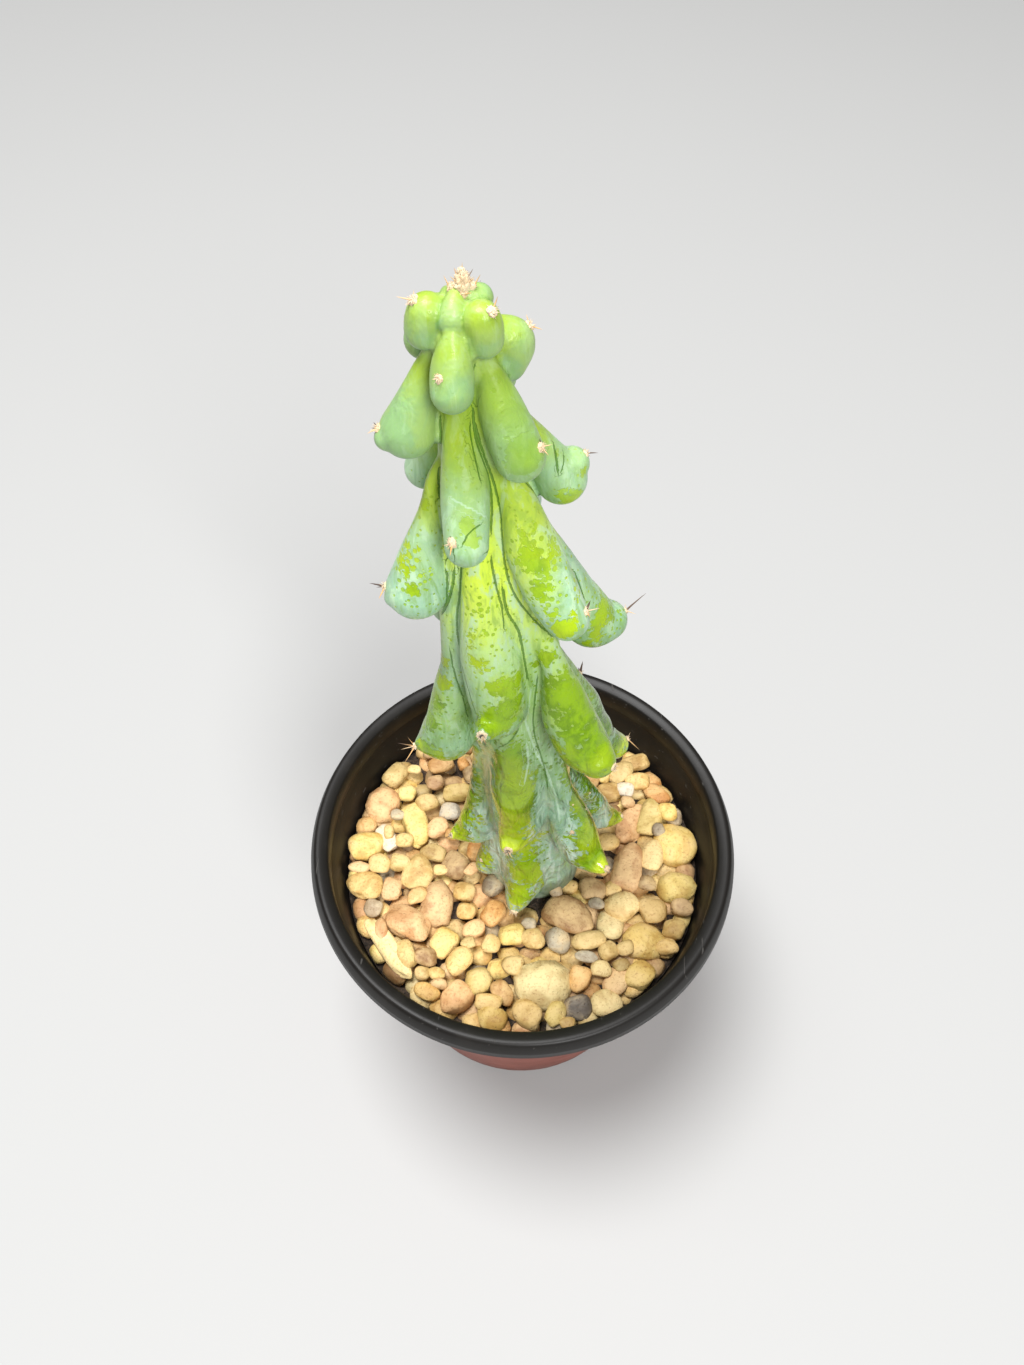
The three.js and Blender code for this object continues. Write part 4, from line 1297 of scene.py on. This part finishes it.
def addStone(whole, stone, draw):
    x, y, z, length, width, height, turn, name = stone
    bm = bmesh.new()
    tint = bm.verts.layers.float_color.new("stoneColour")
    seat = bm.verts.layers.float_vector.new("stonePlace")
    detail = 4 if length > 9 else 3
    if z < gravel["bed"] + 1.6:
        detail = 2
    tilt = Matrix.Rotation(draw.gauss(0, 0.10), 4, "X")
    tilt = tilt @ Matrix.Rotation(draw.gauss(0, 0.10), 4, "Y")
    place = Matrix.Translation((x, y, z)) @ Matrix.Rotation(turn, 4, "Z") @ tilt
    place = place @ Matrix.Diagonal((length / 2, width / 2, height / 2, 1))
    bmesh.ops.create_icosphere(bm, subdivisions=detail, radius=1)
    shift = Vector([draw.uniform(-50, 50) for axis in range(3)])
    lump = draw.uniform(0.08, 0.16)
    # worn flats: each plane cuts the ball a little, and the cuts round off where they meet
    flats = [looseWay(draw, (0, 0, 0), 1) for i in range(gravel["flats"])]
    for axis in range(3):
        for sign in (-1, 1):
            flats.append(looseWay(draw, [sign * (k == axis) for k in range(3)], 0.22))
    depths = [draw.uniform(*gravel["flatDepths"]) for flat in flats]
    power = gravel["rounding"]
    base = Vector(stoneColours[name])
    light = draw.uniform(0.72, 1.12)
    warm = draw.uniform(-0.04, 0.08)
    colour = (base.x * light * (1 + warm), base.y * light, base.z * light * (1 - warm), 1)
    for vert in bm.verts:
        way = vert.co.copy()
        cuts = sum(max(0, way.dot(flat) / depth) ** power for flat, depth in zip(flats, depths))
        dent = noise.noise(way * 0.9 + shift) * lump * 1.5 + noise.noise(way * 2.1 + shift) * lump * 0.5
        vert.co = place @ (way * (1.06 + dent) * (0.6 + cuts) ** (-1 / power))
        vert[tint] = colour
        vert[seat] = vert.co * 0.001 + shift * 0.01
    addTo(whole, bm)


def makeGravel():
    draw = random.Random(23)
    bm = bmesh.new()
    bm.verts.layers.float_color.new("stoneColour")
    bm.verts.layers.float_vector.new("stonePlace")
    stones = placeStones()
    for stone in stones:
        addStone(bm, stone, draw)
    print("gravel holds", len(stones), "stones")
    return makeObject("pea_gravel", meshFrom(bm, "pea_gravel"))


def makeStoneFinish():
    finish = Finish("pea_gravel")
    seat = finish.attribute("stonePlace")
    base = finish.attribute("stoneColour", "Color")
    clouds = finish.noise(seat, 160, 4, 0.6, 0.5)
    grain = finish.noise(seat, 1500, 4, 0.7)
    pits = finish.cells(seat, 900)
    veins = finish.noise(finish.stretch(seat, (1, 0.3, 1), (0.4, 0.9, 0.2)), 260, 3, 0.5, 1.2)
    colour = finish.mix(finish.step(clouds, 0.38, 0.7) * 0.55, base, (0.76, 0.55, 0.27))
    colour = finish.darken(finish.step(clouds, 0.52, 0.34) * 0.6, colour, (0.64, 0.47, 0.30))
    colour = finish.darken(finish.step(veins, 0.6, 0.72) * 0.3, colour, (0.7, 0.45, 0.3))
    colour = finish.darken(finish.step(grain, 0.52, 0.66) * 0.6, colour, (0.60, 0.46, 0.34))
    height = clouds * 0.5 + grain * 0.25 - finish.step(pits, 0.25, 0.1) * 0.2
    return finish.surface({
        "Base Color": colour,
        "Roughness": 0.5 + clouds * 0.25,
        "Normal": finish.bump(height, 0.0007, 0.85),
    })


finishPiece(makeGravel(), makeStoneFinish(), "gravel")


# Soil: dark crumbs that show between the stones.

soil = {
    "bottom": 1.5,
    "top": 66.3,
    "wallGap": 0.3,
    "crumb": 0.5,
    "rings": 26,
}


def makeSoil():
    bm = bmesh.new()
    top, bottom = soil["top"], soil["bottom"]
    low, high = innerWall(bottom) - soil["wallGap"], innerWall(top) - soil["wallGap"]
    bmesh.ops.create_cone(
        bm, cap_ends=False, segments=96, radius1=low, radius2=high, depth=top - bottom,
        matrix=Matrix.Translation((0, 0, (top + bottom) / 2)))
    rim = [edge for edge in bm.edges if all(abs(vert.co.z - top) < 0.01 for vert in edge.verts)]
    foot = [edge for edge in bm.edges if all(vert.co.z < bottom + 0.01 for vert in edge.verts)]
    bmesh.ops.holes_fill(bm, edges=foot, sides=0)
    for i in range(soil["rings"]):
        ring, rim = growRing(bm, rim)
        size = lerp(high, 1, (i + 1) / soil["rings"])
        for vert in ring:
            flat = Vector((vert.co.x, vert.co.y)).normalized() * size
            vert.co = (flat.x, flat.y, top)
    bmesh.ops.holes_fill(bm, edges=rim, sides=0)
    bmesh.ops.recalc_face_normals(bm, faces=bm.faces)
    for vert in bm.verts:
        if vert.co.z > top - 0.01:
            vert.co.z += soil["crumb"] * noise.noise(vert.co * 0.9) - 0.2
    return makeObject("potting_soil", meshFrom(bm, "potting_soil"))


def makeSoilFinish():
    finish = Finish("potting_soil")
    place = finish.place()
    crumbs = finish.cells(place, 700)
    grit = finish.noise(place, 1400, 5, 0.7)
    colour = finish.mix(finish.step(grit, 0.35, 0.7), (0.018, 0.012, 0.008), (0.085, 0.055, 0.034))
    return finish.surface({
        "Base Color": colour,
        "Roughness": 0.95,
        "Normal": finish.bump(crumbs + grit * 0.6, 0.0009, 1.0),
    })


finishPiece(makeSoil(), makeSoilFinish(), "soil")


# Studio: a pale floor, soft light, and the camera at the photograph's angle.

studio = {
    "floorSize": 6.0,
    "floorColour": (0.38, 0.38, 0.375),
    "worldColour": (0.80, 0.80, 0.80),
    "worldStrength": 0.34,
    "lampAim": (0, 0, 0.12),
    # name, place, size, power
    "lamps": [
        ("key_softbox", (-0.3, 0.12, 1.7), 0.8, 40),
        ("front_softbox", (0.55, -1.3, 1.4), 0.8, 37),
    ],
}


def makeStudio():
    bm = bmesh.new()
    bmesh.ops.create_grid(bm, x_segments=1, y_segments=1, size=studio["floorSize"] / 2)
    floor = makeObject("studio_floor", meshFrom(bm, "studio_floor"))
    finish = Finish("studio_floor")
    soft = finish.noise(finish.place(), 3, 2)
    colour = finish.mix(soft * 0.08, studio["floorColour"], (0.5, 0.5, 0.5))
    floor.data.materials.append(finish.surface({"Base Color": colour, "Roughness": 0.75}))
    for name, place, size, power in studio["lamps"]:
        lamp = bpy.data.lights.new(name, "AREA")
        lamp.shape = "DISK"
        lamp.size = size
        lamp.energy = power
        holder = makeObject(name, lamp)
        holder.location = place
        aim = Vector(studio["lampAim"]) - Vector(place)
        holder.rotation_euler = aim.to_track_quat("-Z", "Y").to_euler()
    world = bpy.data.worlds.new("studio")
    world.use_nodes = True
    background = world.node_tree.nodes["Background"]
    background.inputs["Color"].default_value = (*studio["worldColour"], 1)
    background.inputs["Strength"].default_value = studio["worldStrength"]
    bpy.context.scene.world = world


def makeCamera():
    lens = bpy.data.cameras.new("camera")
    lens.sensor_width = photograph["sensor"]
    lens.lens = photograph["lens"]
    lens.clip_start = 0.01
    holder = makeObject("camera", lens)
    forward = Vector(photograph["cameraForward"]).normalized()
    up = Vector(photograph["cameraUp"]).normalized()
    side = forward.cross(up).normalized()
    turn = Matrix((side, up, -forward)).transposed().to_4x4()
    holder.matrix_world = Matrix.Translation(Vector(photograph["cameraPlace"]) * 0.001) @ turn
    bpy.context.scene.camera = holder


makeStudio()
makeCamera()
bpy.context.scene.view_settings.view_transform = "Standard"
